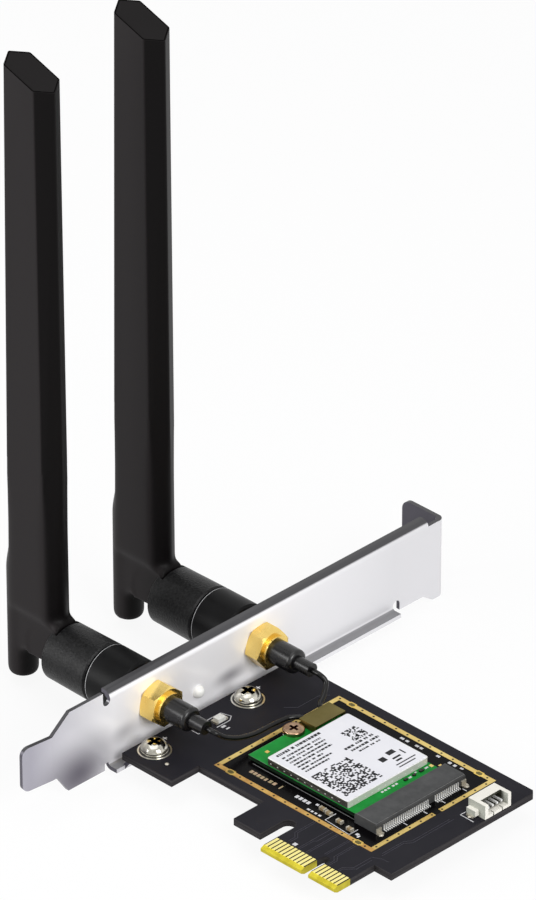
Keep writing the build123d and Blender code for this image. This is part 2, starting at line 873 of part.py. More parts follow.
cover_x = module_x - cover_overhang
cover_end = cover_x + cover_depth
cover_length = plug_spacing + 2 * (plug_radius + cover_side_clear + cover_sheet)
with BuildPart() as coax_cover:
    low = plug_line - cover_length / 2
    high = plug_line + cover_length / 2
    roof = plug_top + cover_clear
    bar((cover_x, low, roof), (cover_end, high, roof + cover_sheet))
    bar((module_x, low, module_top), (cover_end, low + cover_sheet, roof))
    bar((module_x, high - cover_sheet, module_top), (cover_end, high, roof))
save(coax_cover, "coax_cover")

lead_end_x = plug_x - plug_radius
lead_end_z = module_top + plug_height / 2


def bend_radii(points):
    """The largest even arc at each corner that both its runs leave room for."""
    radii = []
    for before, here, after in zip(points, points[1:], points[2:]):
        run_in = Vector(*here) - Vector(*before)
        run_out = Vector(*after) - Vector(*here)
        turn = math.radians(run_in.get_angle(run_out))
        radii.append(bend_share * min(run_in.length, run_out.length) / math.tan(turn / 2))
    print("bend radii", [round(radius, 1) for radius in radii])
    return radii


for side, bends in lead_bends.items():
    route = [
        (lead_x, axis_lines[side], axis_height),
        (lead_x + lead_straight, axis_lines[side], axis_height),
        *[(card_x + x, y, card_top + z) for x, y, z in bends],
        (lead_end_x - lead_straight, plug_lines[side], lead_end_z),
        (lead_end_x, plug_lines[side], lead_end_z),
    ]
    with BuildPart() as coax_lead:
        with BuildLine() as path:
            FilletPolyline(*route, radius=bend_radii(route))
        with BuildSketch(Plane(origin=path.line @ 0, z_dir=path.line % 0)):
            Circle(lead_radius)
        sweep()
    save(coax_lead, f"{side}_coax_lead")

# Side-entry header: shell with a short roof, four pins with tails, two anchor feet
header_x = card_end - header_depth
header_line = card_height - header_drop
header_top = card_top + header_height
header_low = header_line - header_width / 2
header_high = header_line + header_width / 2
pin_z = card_top + (header_floor + header_height - header_roof) / 2
first_pin = header_line - (header_pin_count - 1) * header_pitch / 2
pin_lines = [first_pin + k * header_pitch for k in range(header_pin_count)]
ear_x = header_x + header_ear_start
floor_top = card_top + header_floor
with BuildPart() as header_shell:
    bar((header_x, header_low, card_top), (card_end, header_high, header_top))
    bar(
        (card_end - header_pocket, header_low + header_wall, floor_top),
        (card_end, header_high - header_wall, header_top - header_roof),
        Mode.SUBTRACT,
    )
    bar(
        (header_x + header_roof_depth, header_low + header_wall, floor_top),
        (card_end, header_high - header_wall, header_top),
        Mode.SUBTRACT,
    )
    for way in (-1, 1):
        slit = header_line + way * header_slit_place
        bar(
            (card_end - header_slit_depth, slit - header_slit / 2, card_top),
            (card_end, slit + header_slit / 2, floor_top),
            Mode.SUBTRACT,
        )
        wall = header_line + way * header_width / 2
        inner, outer = sorted((wall, wall + way * header_ear_width))
        bar(
            (ear_x, inner, card_top + header_foot),
            (ear_x + header_ear_depth, outer, card_top + header_ear_height),
        )
save(header_shell, "header_shell")

half_pin = header_pin_size / 2
with BuildPart() as header_pins:
    for line in pin_lines:
        bar(
            (card_end - header_pocket, line - half_pin, pin_z - half_pin),
            (card_end - header_pocket + header_pin_length, line + half_pin, pin_z + half_pin),
        )
        bar(
            (header_x - header_tail, line - half_pin, card_top),
            (header_x, line + half_pin, card_top + half_pin),
        )
save(header_pins, "header_pins")

with BuildPart() as header_anchors:
    for wall, way in ((header_low, -1), (header_high, 1)):
        inner, outer = sorted((wall, wall + way * (header_ear_width + header_foot_reach)))
        bar(
            (ear_x + header_foot_inset, inner, card_top),
            (ear_x + header_ear_depth - header_foot_inset, outer, card_top + header_foot),
        )
save(header_anchors, "header_anchors")

# Indicator lamp behind the hole in the bracket: a low base with a raised lens
lens_length = lamp_length - 2 * lamp_end
with BuildPart() as indicator_lamp:
    with Locations((card_x + lamp_place[0], lamp_place[1], card_top)):
        Box(lamp_width, lamp_length, lamp_base, align=(Align.CENTER, Align.CENTER, Align.MIN))
        Box(lamp_width, lens_length, lamp_height, align=(Align.CENTER, Align.CENTER, Align.MIN))
save(indicator_lamp, "indicator_lamp")

# Chip resistors beside the module
with BuildPart() as resistors:
    with Locations(*[(card_x + x, y, card_top) for x, y in resistor_places]):
        Box(chip_length, chip_width, chip_height, align=(Align.CENTER, Align.CENTER, Align.MIN))
save(resistors, "resistors")
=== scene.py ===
import math
import random
from functools import reduce

import bmesh
import bpy
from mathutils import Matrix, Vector


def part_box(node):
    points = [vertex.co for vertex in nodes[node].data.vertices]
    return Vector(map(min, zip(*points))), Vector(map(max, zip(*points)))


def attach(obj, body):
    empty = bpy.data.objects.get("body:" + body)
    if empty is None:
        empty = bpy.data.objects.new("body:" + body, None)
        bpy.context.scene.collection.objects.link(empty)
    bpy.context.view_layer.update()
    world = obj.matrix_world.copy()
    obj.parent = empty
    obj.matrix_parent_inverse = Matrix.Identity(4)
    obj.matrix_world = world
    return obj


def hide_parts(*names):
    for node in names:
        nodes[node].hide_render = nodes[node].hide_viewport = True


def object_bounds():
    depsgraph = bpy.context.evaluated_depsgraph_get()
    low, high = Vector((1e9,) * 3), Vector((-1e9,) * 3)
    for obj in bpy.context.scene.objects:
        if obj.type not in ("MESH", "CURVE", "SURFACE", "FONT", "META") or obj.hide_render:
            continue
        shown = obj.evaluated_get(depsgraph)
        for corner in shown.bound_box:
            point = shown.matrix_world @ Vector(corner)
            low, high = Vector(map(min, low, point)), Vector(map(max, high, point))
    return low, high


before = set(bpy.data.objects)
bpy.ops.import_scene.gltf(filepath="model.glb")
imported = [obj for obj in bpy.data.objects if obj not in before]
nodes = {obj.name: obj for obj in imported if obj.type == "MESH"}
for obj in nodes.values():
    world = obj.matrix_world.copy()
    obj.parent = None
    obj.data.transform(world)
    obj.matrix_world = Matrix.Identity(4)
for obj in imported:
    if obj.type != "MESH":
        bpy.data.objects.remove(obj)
cadBox = [list(corner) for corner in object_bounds()]
mm = 0.001
scene = bpy.context.scene


def addObject(name, data):
    thing = bpy.data.objects.new(name, data)
    scene.collection.objects.link(thing)
    return thing


def lookAt(place, aim):
    return (Vector(aim) - Vector(place)).to_track_quat("-Z", "Y").to_euler()


# a socket is linked, anything else becomes the input's own value
def feed(tree, socket, value):
    if isinstance(value, bpy.types.NodeSocket):
        tree.links.new(value, socket)
    else:
        socket.default_value = value


def addNode(tree, kind, inputs=None, **settings):
    node = tree.nodes.new(kind)
    for name, value in settings.items():
        setattr(node, name, value)
    for name, value in (inputs or {}).items():
        feed(tree, node.inputs[name], value)
    return node


def freshTree(owner):
    owner.use_nodes = True
    owner.node_tree.nodes.clear()
    return owner.node_tree


def startFinish(name, metallic=0.0, specular=0.5, roughness=0.5):
    finish = bpy.data.materials.new(name)
    tree = freshTree(finish)
    shader = addNode(tree, "ShaderNodeBsdfPrincipled", {
        "Metallic": metallic, "Specular IOR Level": specular, "Roughness": roughness})
    addNode(tree, "ShaderNodeOutputMaterial", {"Surface": shader.outputs["BSDF"]})
    return finish, tree, shader, addNode(tree, "ShaderNodeTexCoord")


def maths(tree, operation, first, second=0.0):
    return addNode(tree, "ShaderNodeMath", {0: first, 1: second}, operation=operation).outputs[0]


def combine(tree, operation, values):
    return reduce(lambda first, second: maths(tree, operation, first, second), values)


def axesOf(tree, vector):
    return addNode(tree, "ShaderNodeSeparateXYZ", {0: vector}).outputs


def noiseAt(tree, coords, scale, detail=3.0, stretch=None):
    place = coords.outputs["Object"]
    if stretch:
        place = addNode(tree, "ShaderNodeMapping", {"Vector": place, "Scale": stretch}).outputs["Vector"]
    noise = addNode(tree, "ShaderNodeTexNoise", {"Vector": place, "Scale": scale, "Detail": detail, "Roughness": 0.55})
    return noise.outputs["Fac"]


def spread(tree, value, low=0.0, high=1.0, start=0.3, end=0.7):
    mapRange = addNode(tree, "ShaderNodeMapRange", {
        "Value": value, "From Min": start, "From Max": end, "To Min": low, "To Max": high})
    return mapRange.outputs["Result"]


def ramp(tree, value, start, end):
    return spread(tree, value, start=start, end=end)


def mixColours(tree, factor, first, second):
    first, second = (c if isinstance(c, bpy.types.NodeSocket) else (*c, 1.0) for c in (first, second))
    return addNode(tree, "ShaderNodeMix", {0: factor, 6: first, 7: second}, data_type="RGBA").outputs[2]


def cloudy(tree, coords, scale, first, second):
    return mixColours(tree, spread(tree, noiseAt(tree, coords, scale)), first, second)


# thin layers along a cut edge: noise scale, squeeze in z, start and end of the change
def layered(tree, coords, layers, first, second):
    scale, squeeze, start, end = layers
    plies = noiseAt(tree, coords, scale, stretch=(1.0, 1.0, squeeze))
    return mixColours(tree, ramp(tree, plies, start, end), first, second)


def addBump(tree, shader, coords, scale, strength, distance):
    height = noiseAt(tree, coords, scale, detail=2.0)
    bump = addNode(tree, "ShaderNodeBump", {"Height": height, "Strength": strength, "Distance": distance})
    feed(tree, shader.inputs["Normal"], bump.outputs["Normal"])


def insideMask(tree, coords, low, high):
    axes = axesOf(tree, coords.outputs["Object"])
    tests = []
    for axis in (0, 1):
        tests.append(maths(tree, "GREATER_THAN", axes[axis], low[axis]))
        tests.append(maths(tree, "LESS_THAN", axes[axis], high[axis]))
    return combine(tree, "MULTIPLY", tests)


# faces steeper than 60 degrees
def sideMask(tree):
    normal = addNode(tree, "ShaderNodeNewGeometry").outputs["True Normal"]
    return maths(tree, "LESS_THAN", maths(tree, "ABSOLUTE", axesOf(tree, normal)[2]), 0.5)


def facing(tree, axis, sign, start, end):
    normal = addNode(tree, "ShaderNodeNewGeometry").outputs["Normal"]
    return ramp(tree, axesOf(tree, normal)[axis], start * sign, end * sign)


def dress(finish, *names):
    for name in names:
        mesh = nodes[name].data
        mesh.materials.clear()
        mesh.materials.append(finish)


def plainFinish(name, first, second, toneScale, roughness, bump, metallic=0.0, specular=0.5):
    finish, tree, shader, coords = startFinish(name, metallic, specular)
    feed(tree, shader.inputs["Base Color"], cloudy(tree, coords, toneScale, first, second))
    wear = noiseAt(tree, coords, toneScale * 2.3)  # finer than the tone
    feed(tree, shader.inputs["Roughness"], spread(tree, wear, *roughness))
    if bump:
        addBump(tree, shader, coords, *bump)
    return finish


# long lens, from the front right and above; eye and aim in millimetres
cameraSettings = {
    "eye": (913.0, -927.62, 889.90), "aim": (-55.16, 45.28, 54.73),
    "lens": 322.0, "sensorHeight": 36.0, "clip": (0.05, 50.0),
}


def makeCamera(s):
    data = bpy.data.cameras.new("studioCamera")
    data.sensor_fit = "VERTICAL"
    data.sensor_height = s["sensorHeight"]
    data.lens = s["lens"]
    data.clip_start, data.clip_end = s["clip"]
    camera = addObject("studioCamera", data)
    eye, aim = Vector(s["eye"]) * mm, Vector(s["aim"]) * mm
    camera.location = eye
    camera.rotation_euler = lookAt(eye, aim)
    scene.camera = camera


makeCamera(cameraSettings)
print("camera set")

# pale floor, soft lamps, white for what looks past the object
studio = {
    "floorSize": 6.0,
    "floorColour": (0.86, 0.86, 0.87),
    "floorGlow": 0.9,
    "worldLight": 0.40,
    # name, place, aim, width, height, power
    "lamps": (
        ("overheadLamp", (-0.10, -0.05, 0.95), (-0.03, 0.03, 0.05), 0.9, 0.7, 2.9),
        ("leftLamp", (-0.55, -0.90, 0.34), (-0.06, 0.03, 0.06), 0.5, 0.6, 7.0),
        ("rightLamp", (0.85, -0.15, 0.55), (-0.05, 0.03, 0.03), 0.5, 0.6, 7.4),
    ),
}


def seenRays(tree):
    path = addNode(tree, "ShaderNodeLightPath").outputs
    return combine(tree, "MAXIMUM", [path["Is Camera Ray"], path["Is Glossy Ray"], path["Is Transmission Ray"]])


def mixShaders(tree, factor, first, second):
    return addNode(tree, "ShaderNodeMixShader", {0: factor, 1: first.outputs[0], 2: second.outputs[0]}).outputs[0]


def makeStudio(s):
    white = (1.0, 1.0, 1.0, 1.0)
    scene.view_settings.view_transform = "Standard"
    scene.world = bpy.data.worlds.new("studioWorld")
    tree = freshTree(scene.world)
    lit = addNode(tree, "ShaderNodeBackground", {"Color": white, "Strength": s["worldLight"]})
    seen = addNode(tree, "ShaderNodeBackground", {"Color": white, "Strength": 1.0})
    addNode(tree, "ShaderNodeOutputWorld", {"Surface": mixShaders(tree, seenRays(tree), lit, seen)})

    mesh = bpy.data.meshes.new("studioFloor")
    half, low = s["floorSize"] / 2, cadBox[0][2]
    corners = [(-half, -half, low), (half, -half, low), (half, half, low), (-half, half, low)]
    mesh.from_pydata(corners, [], [(0, 1, 2, 3)])
    floor = addObject("studioFloor", mesh)
    finish = bpy.data.materials.new("floorPale")
    tree = freshTree(finish)
    matt = addNode(tree, "ShaderNodeBsdfDiffuse", {"Color": (*s["floorColour"], 1.0)})
    glow = addNode(tree, "ShaderNodeEmission", {"Color": white, "Strength": 1.0})
    share = maths(tree, "MULTIPLY", seenRays(tree), s["floorGlow"])
    addNode(tree, "ShaderNodeOutputMaterial", {"Surface": mixShaders(tree, share, matt, glow)})
    mesh.materials.append(finish)

    for name, place, aim, width, height, power in s["lamps"]:
        data = bpy.data.lights.new(name, "AREA")
        data.shape = "RECTANGLE"
        data.size, data.size_y = width, height
        data.energy = power
        lamp = addObject(name, data)
        lamp.location = place
        lamp.rotation_euler = lookAt(place, aim)
        lamp.visible_camera = False


makeStudio(studio)
print("studio set")

# folded sheet: satin nickel with a random tone; painted shade on the lips, the flange's inner face and the far end,
# painted dark reflections down the tail and in soft patches
steelSettings = {
    "bright": (0.93, 0.925, 0.94), "smoke": (0.87, 0.86, 0.89), "smokeScale": 30.0,
    "metallic": 0.12, "specular": 0.3, "roughness": 0.27,
    # y over which the painted dark reflection on the tail and the painted shade at the far end fade in
    "tail": (0.35, 0.34, 0.39), "tailRun": (4.0, -18.0), "head": (0.67, 0.665, 0.685), "headRun": (40.0, 85.0),
    # painted shade: the lips face up and are paler low down, the flange's inner face looks along -y
    "lip": (0.060, 0.059, 0.063), "lowLipShade": (0.25, 0.25, 0.26), "lipRun": (0.0, 6.0), "lipTurn": (0.55, 0.72),
    "flange": (0.075, 0.070, 0.090), "flangeTurn": (0.60, 0.95),
    # painted dark reflections: centre y and z, reach y and z, share of the reflection colour
    "reflectionPatch": (0.085, 0.076, 0.100),
    "reflectionPatches": ((-5.4, -0.2, 15.5, 11.5, 0.96), (37.0, 3.7, 6.4, 2.7, 0.62), (7.4, 4.0, 5.2, 3.2, 0.36)),
}


def makeSteel(s):
    finish, tree, shader, coords = startFinish("bracketSatinSteel", s["metallic"], s["specular"], s["roughness"])
    place = coords.outputs["Object"]
    axes = axesOf(tree, place)

    def along(axis, run):
        return ramp(tree, axes[axis], run[0] * mm, run[1] * mm)

    face = mixColours(tree, noiseAt(tree, coords, s["smokeScale"], 2.0), s["bright"], s["smoke"])
    # painted dark reflection down the tail, painted shade towards the far end
    face = mixColours(tree, along(1, s["tailRun"]), face, s["tail"])
    face = mixColours(tree, along(1, s["headRun"]), face, s["head"])
    # painted dark reflections in soft patches
    for y, z, reachY, reachZ, share in s["reflectionPatches"]:
        scaled = addNode(tree, "ShaderNodeMapping", {
            "Vector": place, "Scale": (0.0, 1 / (reachY * mm), 1 / (reachZ * mm)),
            "Location": (0.0, -y / reachY, -z / reachZ)})
        reach = addNode(tree, "ShaderNodeVectorMath", {0: scaled.outputs["Vector"]}, operation="LENGTH")
        soft = addNode(tree, "ShaderNodeMapRange", {
            "Value": reach.outputs["Value"], "To Min": share, "To Max": 0.0}, interpolation_type="SMOOTHSTEP")
        face = mixColours(tree, soft.outputs["Result"], face, s["reflectionPatch"])
    # painted shade on the upward lips and on the flange's inner face
    lips = mixColours(tree, along(2, s["lipRun"]), s["lowLipShade"], s["lip"])
    face = mixColours(tree, facing(tree, 2, 1, *s["lipTurn"]), face, lips)
    face = mixColours(tree, facing(tree, 1, -1, *s["flangeTurn"]), face, s["flange"])
    feed(tree, shader.inputs["Base Color"], face)
    dress(finish, "bracket")


# solder mask: charcoal outside the plated frame, lightened there as a painted sheen, deep gloss inside it, brown
# laminate on the cut edges, gilded tongue
maskSettings = {
    "charcoalAndSheen": (0.0112, 0.0110, 0.0150), "charcoalAndSheenWarm": (0.0180, 0.0172, 0.0215), "cloudScale": 60.0,
    "inner": (0.0016, 0.0013, 0.0017), "specular": 0.05, "roughness": (0.42, 0.24), "weave": (900.0, 0.10, 0.00005),
    "edge": (0.017, 0.0155, 0.017), "edgeLight": (0.044, 0.041, 0.043), "layers": (60.0, 130.0, 0.4, 0.6),
    "gild": (0.60, 0.52, 0.048), "gildDeep": (0.45, 0.38, 0.028), "gildScale": 500.0,
    "tongue": (-12.2, 8.2), "bevelRun": 0.92, "padTop": 4.4,
}
frameLow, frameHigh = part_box("plated_frame")


def makeBoardMask(s):
    finish, tree, shader, coords = startFinish("boardBlackMask", specular=s["specular"])
    within = insideMask(tree, coords, frameLow, frameHigh)
    # charcoal mask colour with painted sheen outside the frame, near black inside it
    top = cloudy(tree, coords, s["cloudScale"], s["charcoalAndSheen"], s["charcoalAndSheenWarm"])
    top = mixColours(tree, within, top, s["inner"])
    side = sideMask(tree)
    bare = mixColours(tree, side, top, layered(tree, coords, s["layers"], s["edge"], s["edgeLight"]))
    left, right = (value * mm for value in s["tongue"])
    bevel = insideMask(tree, coords, (left, -mm), (right, s["bevelRun"] * mm))
    ends = maths(tree, "MULTIPLY", insideMask(tree, coords, (left, -mm), (right, s["padTop"] * mm)), side)
    gilded = maths(tree, "MAXIMUM", bevel, ends)
    gild = cloudy(tree, coords, s["gildScale"], s["gild"], s["gildDeep"])
    feed(tree, shader.inputs["Base Color"], mixColours(tree, gilded, bare, gild))
    feed(tree, shader.inputs["Metallic"], gilded)
    feed(tree, shader.inputs["Roughness"], spread(tree, within, *s["roughness"], 0.0, 1.0))
    addBump(tree, shader, coords, *s["weave"])
    dress(finish, "main_board")


makeSteel(steelSettings)
makeBoardMask(maskSettings)

# plating and turned metal: first colour, second colour, tone scale, metallic, roughness range, bump, nodes
metalSettings = {
    "padBrightGold": ((0.98, 0.89, 0.36), (0.94, 0.82, 0.27), 220.0, 1.0, (0.20, 0.34), (2500.0, 0.05, 0.00003),
        ("edge_contacts",)),
    "framePaleGold": ((0.82, 0.63, 0.17), (0.62, 0.40, 0.10), 90.0, 1.0, (0.30, 0.48), (1800.0, 0.15, 0.00004), ()),
    "brassPolished": ((0.90, 0.68, 0.235), (0.80, 0.55, 0.145), 160.0, 1.0, (0.16, 0.30), (1600.0, 0.06, 0.00003),
        ("front_connector", "rear_connector", "front_jam_nut", "rear_jam_nut")),
    "washerZinc": ((0.60, 0.60, 0.63), (0.48, 0.48, 0.50), 260.0, 1.0, (0.30, 0.45), (1800.0, 0.08, 0.00003),
        ("front_lock_washer", "rear_lock_washer", "front_hinge_pin", "rear_hinge_pin")),
    "tinBright": ((0.94, 0.94, 0.93), (0.84, 0.84, 0.82), 420.0, 0.5, (0.26, 0.38), (2400.0, 0.06, 0.00003),
        ("socket_contacts", "header_pins", "module_standoff")),
    "capTin": ((0.56, 0.53, 0.45), (0.34, 0.31, 0.25), 700.0, 0.5, (0.26, 0.40), (2400.0, 0.06, 0.00003),
        ("socket_anchors", "header_anchors")),
    "coverOliveGold": ((0.17, 0.14, 0.045), (0.125, 0.10, 0.03), 150.0, 1.0, (0.34, 0.48), (1500.0, 0.06, 0.00003),
        ("coax_cover",)),
    "plugGold": ((0.84, 0.64, 0.24), (0.70, 0.48, 0.14), 400.0, 1.0, (0.20, 0.32), (2000.0, 0.05, 0.00003),
        ("front_coax_plug", "rear_coax_plug")),
}
finishes = {}
for name, (first, second, scale, metallic, roughness, bump, wearers) in metalSettings.items():
    finishes[name] = plainFinish(name, first, second, scale, metallic=metallic, roughness=roughness, bump=bump)
    dress(finishes[name], *wearers)

# plated frame: bright along three sides, browner along the contact side
frameGold = {
    "bright": (0.78, 0.61, 0.22), "warm": (0.52, 0.35, 0.10), "toneScale": 90.0, "roughness": (0.30, 0.46),
    "brown": (0.48, 0.26, 0.075), "brownLight": (0.66, 0.43, 0.13), "speckleScale": 420.0, "lowStrip": 1.25,
    "bump": (1800.0, 0.15, 0.00004),
}


def makeFrameGold(s):
    finish, tree, shader, coords = startFinish("frameGoldStrip", metallic=1.0)
    tone = spread(tree, noiseAt(tree, coords, s["toneScale"]))
    sides = mixColours(tree, tone, s["bright"], s["warm"])
    brown = cloudy(tree, coords, s["speckleScale"], s["brown"], s["brownLight"])
    # open in x: a metre to either side
    low = insideMask(tree, coords, (-1.0, frameLow[1] - mm), (1.0, frameLow[1] + s["lowStrip"] * mm))
    feed(tree, shader.inputs["Base Color"], mixColours(tree, low, sides, brown))
    feed(tree, shader.inputs["Roughness"], spread(tree, tone, *s["roughness"]))
    addBump(tree, shader, coords, *s["bump"])
    dress(finish, "plated_frame")


makeFrameGold(frameGold)

# mouldings, jackets and print: first colour, second colour, tone scale, specular, roughness range, bump, nodes
mouldSettings = {
    "elbowGrainBlack": ((0.0014, 0.0014, 0.0016), (0.0140, 0.0140, 0.0144), 1900.0, 0.16, (0.34, 0.44),
        (2600.0, 0.70, 0.00016), ("front_elbow", "rear_elbow")),
    "nutSmoothBlack": ((0.0038, 0.0038, 0.0040), (0.0056, 0.0056, 0.0059), 160.0, 0.09, (0.36, 0.44),
        (3600.0, 0.10, 0.00004), ("front_coupling_nut", "rear_coupling_nut")),
    "bootRubber": ((0.0040, 0.0038, 0.0042), (0.0056, 0.0053, 0.0058), 120.0, 0.42, (0.26, 0.29),
        (3000.0, 0.03, 0.00003), ("front_boot", "rear_boot")),
    "leadJacket": ((0.0030, 0.0030, 0.0032), (0.0048, 0.0048, 0.0050), 500.0, 0.26, (0.14, 0.20),
        (3000.0, 0.04, 0.00003), ("front_coax_lead", "rear_coax_lead")),
    "socketDarkGrey": ((0.038, 0.039, 0.040), (0.060, 0.061, 0.062), 420.0, 0.20, (0.42, 0.58),
        (2600.0, 0.25, 0.00005), ("socket_housing",)),
    "labelCoolWhite": ((0.77, 0.77, 0.805), (0.72, 0.72, 0.765), 90.0, 0.20, (0.50, 0.62), (2600.0, 0.10, 0.00003),
        ("module_label",)),
    "lampMilky": ((0.72, 0.72, 0.69), (0.62, 0.62, 0.58), 600.0, 0.50, (0.20, 0.32), (2600.0, 0.05, 0.00003),
        ("indicator_lamp",)),
    "lensMilky": ((0.93, 0.93, 0.91), (0.88, 0.88, 0.85), 600.0, 0.50, (0.20, 0.30), (2600.0, 0.05, 0.00003),
        ("indicator_lens",)),
    "chipTan": ((0.30, 0.23, 0.12), (0.20, 0.14, 0.075), 900.0, 0.45, (0.35, 0.50), (3000.0, 0.08, 0.00003),
        ("resistors",)),
    "chipBlackGlaze": ((0.010, 0.009, 0.008), (0.020, 0.018, 0.016), 700.0, 0.30, (0.26, 0.40),
        (3000.0, 0.08, 0.00003), ()),
    "silkWhite": ((0.72, 0.72, 0.74), (0.50, 0.50, 0.52), 900.0, 0.15, (0.55, 0.70), None, ()),
    # pale ring at each elbow's seam, a painted highlight
    "seamHighlight": ((0.62, 0.62, 0.63), (0.34, 0.34, 0.35), 500.0, 0.30, (0.30, 0.45), None, ()),
    "silkTan": ((0.50, 0.34, 0.24), (0.24, 0.22, 0.11), 900.0, 0.15, (0.55, 0.70), None, ()),
    # grey for the line along the module and for the painted highlight on the socket's top edges
    "greyLineAndHighlight": ((0.17, 0.17, 0.17), (0.09, 0.09, 0.09), 900.0, 0.15, (0.55, 0.70), None, ()),
    # green painted highlight along the module's top edges
    "greenEdgeHighlight": ((0.11, 0.25, 0.13), (0.07, 0.18, 0.085), 700.0, 0.15, (0.40, 0.55), None, ()),
    "printBlack": ((0.010, 0.010, 0.012), (0.026, 0.026, 0.028), 800.0, 0.15, (0.55, 0.70), None, ()),
    "grooveBlack": ((0.0012, 0.0010, 0.0010), (0.0020, 0.0018, 0.0018), 900.0, 0.02, (0.60, 0.70), None, ()),
    "viaDark": ((0.004, 0.003, 0.002), (0.012, 0.008, 0.004), 900.0, 0.15, (0.45, 0.60), None, ()),
    "traceMask": ((0.028, 0.027, 0.037), (0.036, 0.034, 0.046), 300.0, 0.16, (0.30, 0.42), None, ()),
}
for name, (first, second, scale, specular, roughness, bump, wearers) in mouldSettings.items():
    finishes[name] = plainFinish(name, first, second, scale, specular=specular, roughness=roughness, bump=bump)
    dress(finishes[name], *wearers)

# antenna blades: satin black, painted light makes the flank towards the contact edge greyer, painted shade makes the
# one towards the card deeper
bladeBlack = {
    "deep": (0.0050, 0.0041, 0.0043), "soft": (0.0074, 0.0063, 0.0065), "toneScale": 45.0,
    "litFlank": (0.0150, 0.0128, 0.0134), "shaded": (0.0014, 0.0009, 0.0010), "turn": (0.35, 0.85),
    "specular": 0.09, "roughness": 0.47, "bump": (4200.0, 0.10, 0.00004),
}


def makeBladeBlack(s):
    finish, tree, shader, coords = startFinish("bladeSatinBlack", 0.0, s["specular"], s["roughness"])
    axes = axesOf(tree, coords.outputs["Normal"])  # the object's own normal, so that the tones move with the blade
    start, end = s["turn"]
    skin = cloudy(tree, coords, s["toneScale"], s["deep"], s["soft"])
    # painted light on the flank facing -y, painted shade on the flank facing +x
    skin = mixColours(tree, ramp(tree, axes[1], -start, -end), skin, s["litFlank"])
    skin = mixColours(tree, ramp(tree, axes[0], start, end), skin, s["shaded"])
    feed(tree, shader.inputs["Base Color"], skin)
    addBump(tree, shader, coords, *s["bump"])
    dress(finish, "front_blade", "rear_blade")
    return finish


finishes["bladeSatinBlack"] = makeBladeBlack(bladeBlack)

# module board: green mask over dark cut edges
greenSettings = {
    "mask": (0.010, 0.275, 0.040), "maskDeep": (0.006, 0.205, 0.028), "toneScale": 350.0,
    "edge": (0.003, 0.008, 0.004), "edgeLight": (0.012, 0.026, 0.014), "layers": (90.0, 60.0, 0.45, 0.6),
    "specular": 0.08, "roughness": 0.34, "bump": (1500.0, 0.10, 0.00004),
}


def makeModuleMask(s):
    finish, tree, shader, coords = startFinish("moduleGreenMask", 0.0, s["specular"], s["roughness"])
    top = cloudy(tree, coords, s["toneScale"], s["mask"], s["maskDeep"])
    edge = layered(tree, coords, s["layers"], s["edge"], s["edgeLight"])
    feed(tree, shader.inputs["Base Color"], mixColours(tree, sideMask(tree), top, edge))
    addBump(tree, shader, coords, *s["bump"])
    dress(finish, "module_board")


makeModuleMask(greenSettings)

# cross-headed screws: plated heads with painted shade inside the recess; reach is from the heads' sides to the cross
screwSettings = {
    "board_screws": {
        "name": "nickelBright", "colour": (0.66, 0.64, 0.57), "other": (0.20, 0.19, 0.155),
        "dark": (0.050, 0.047, 0.041), "roughness": (0.10, 0.20), "arm": (1.64, 0.48),
        "reach": 2.9, "toneScale": 420.0, "wearScale": 900.0},
    "module_screw": {
        "name": "screwCopper", "colour": (0.15, 0.075, 0.038), "other": (0.46, 0.31, 0.20),
        "dark": (0.070, 0.030, 0.014), "roughness": (0.14, 0.26), "arm": (1.14, 0.33),
        "reach": 2.3, "toneScale": 420.0, "wearScale": 900.0},
}


def makeScrews(node, s):
    finish, tree, shader, coords = startFinish(s["name"], metallic=1.0)
    low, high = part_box(node)
    centreX = (low[0] + high[0]) / 2
    long, wide = (value * mm for value in s["arm"])
    arms = []
    for line in sorted({round(low[1] / mm + s["reach"], 3), round(high[1] / mm - s["reach"], 3)}):
        for dx, dy in ((long, wide), (wide, long)):
            arms.append(insideMask(tree, coords, (centreX - dx, line * mm - dy), (centreX + dx, line * mm + dy)))
    plated = cloudy(tree, coords, s["toneScale"], s["colour"], s["other"])
    # painted shade in the cross recess
    recess = combine(tree, "MAXIMUM", arms)
    feed(tree, shader.inputs["Base Color"], mixColours(tree, recess, plated, s["dark"]))
    wear = noiseAt(tree, coords, s["wearScale"])
    feed(tree, shader.inputs["Roughness"], spread(tree, wear, *s["roughness"]))
    dress(finish, node)


for node, settings in screwSettings.items():
    makeScrews(node, settings)

# shield can: one tin, with a bright folded top, walls darkened as painted shade, and the wall towards the socket left
# pale as painted light
canSettings = {
    "top": (0.78, 0.78, 0.76), "wall": (0.030, 0.029, 0.024), "wallLight": (0.10, 0.097, 0.085),
    "layers": (70.0, 40.0, 0.45, 0.62), "litWall": (0.66, 0.66, 0.61), "paleTurn": (0.5, 0.8),
    "metallic": 0.3, "specular": 0.2, "roughness": 0.36, "bump": (1500.0, 0.06, 0.00003),
}


def makeCan(s):
    finish, tree, shader, coords = startFinish("canTin", s["metallic"], s["specular"], s["roughness"])
    # painted shade on the walls, painted light on the wall facing +x
    wall = layered(tree, coords, s["layers"], s["wall"], s["wallLight"])
    wall = mixColours(tree, facing(tree, 0, 1, *s["paleTurn"]), wall, s["litWall"])
    feed(tree, shader.inputs["Base Color"], mixColours(tree, sideMask(tree), s["top"], wall))
    addBump(tree, shader, coords, *s["bump"])
    dress(finish, "module_shield")


makeCan(canSettings)

# pin header: ivory, with painted shade on the faces towards the contact edge and down in the pocket
headerSettings = {
    "ivory": (0.80, 0.78, 0.72), "ivoryDeep": (0.72, 0.70, 0.63), "toneScale": 300.0,
    "side": (0.40, 0.41, 0.36), "sideTurn": (0.5, 0.8), "pocketShade": (0.030, 0.031, 0.020),
    "wall": 1.85, "backWall": 1.0, "pocketStart": 0.9, "pocketDark": 1.9, "rim": 0.05,
    "specular": 0.35, "roughness": 0.45, "bump": (2600.0, 0.12, 0.00004),
}


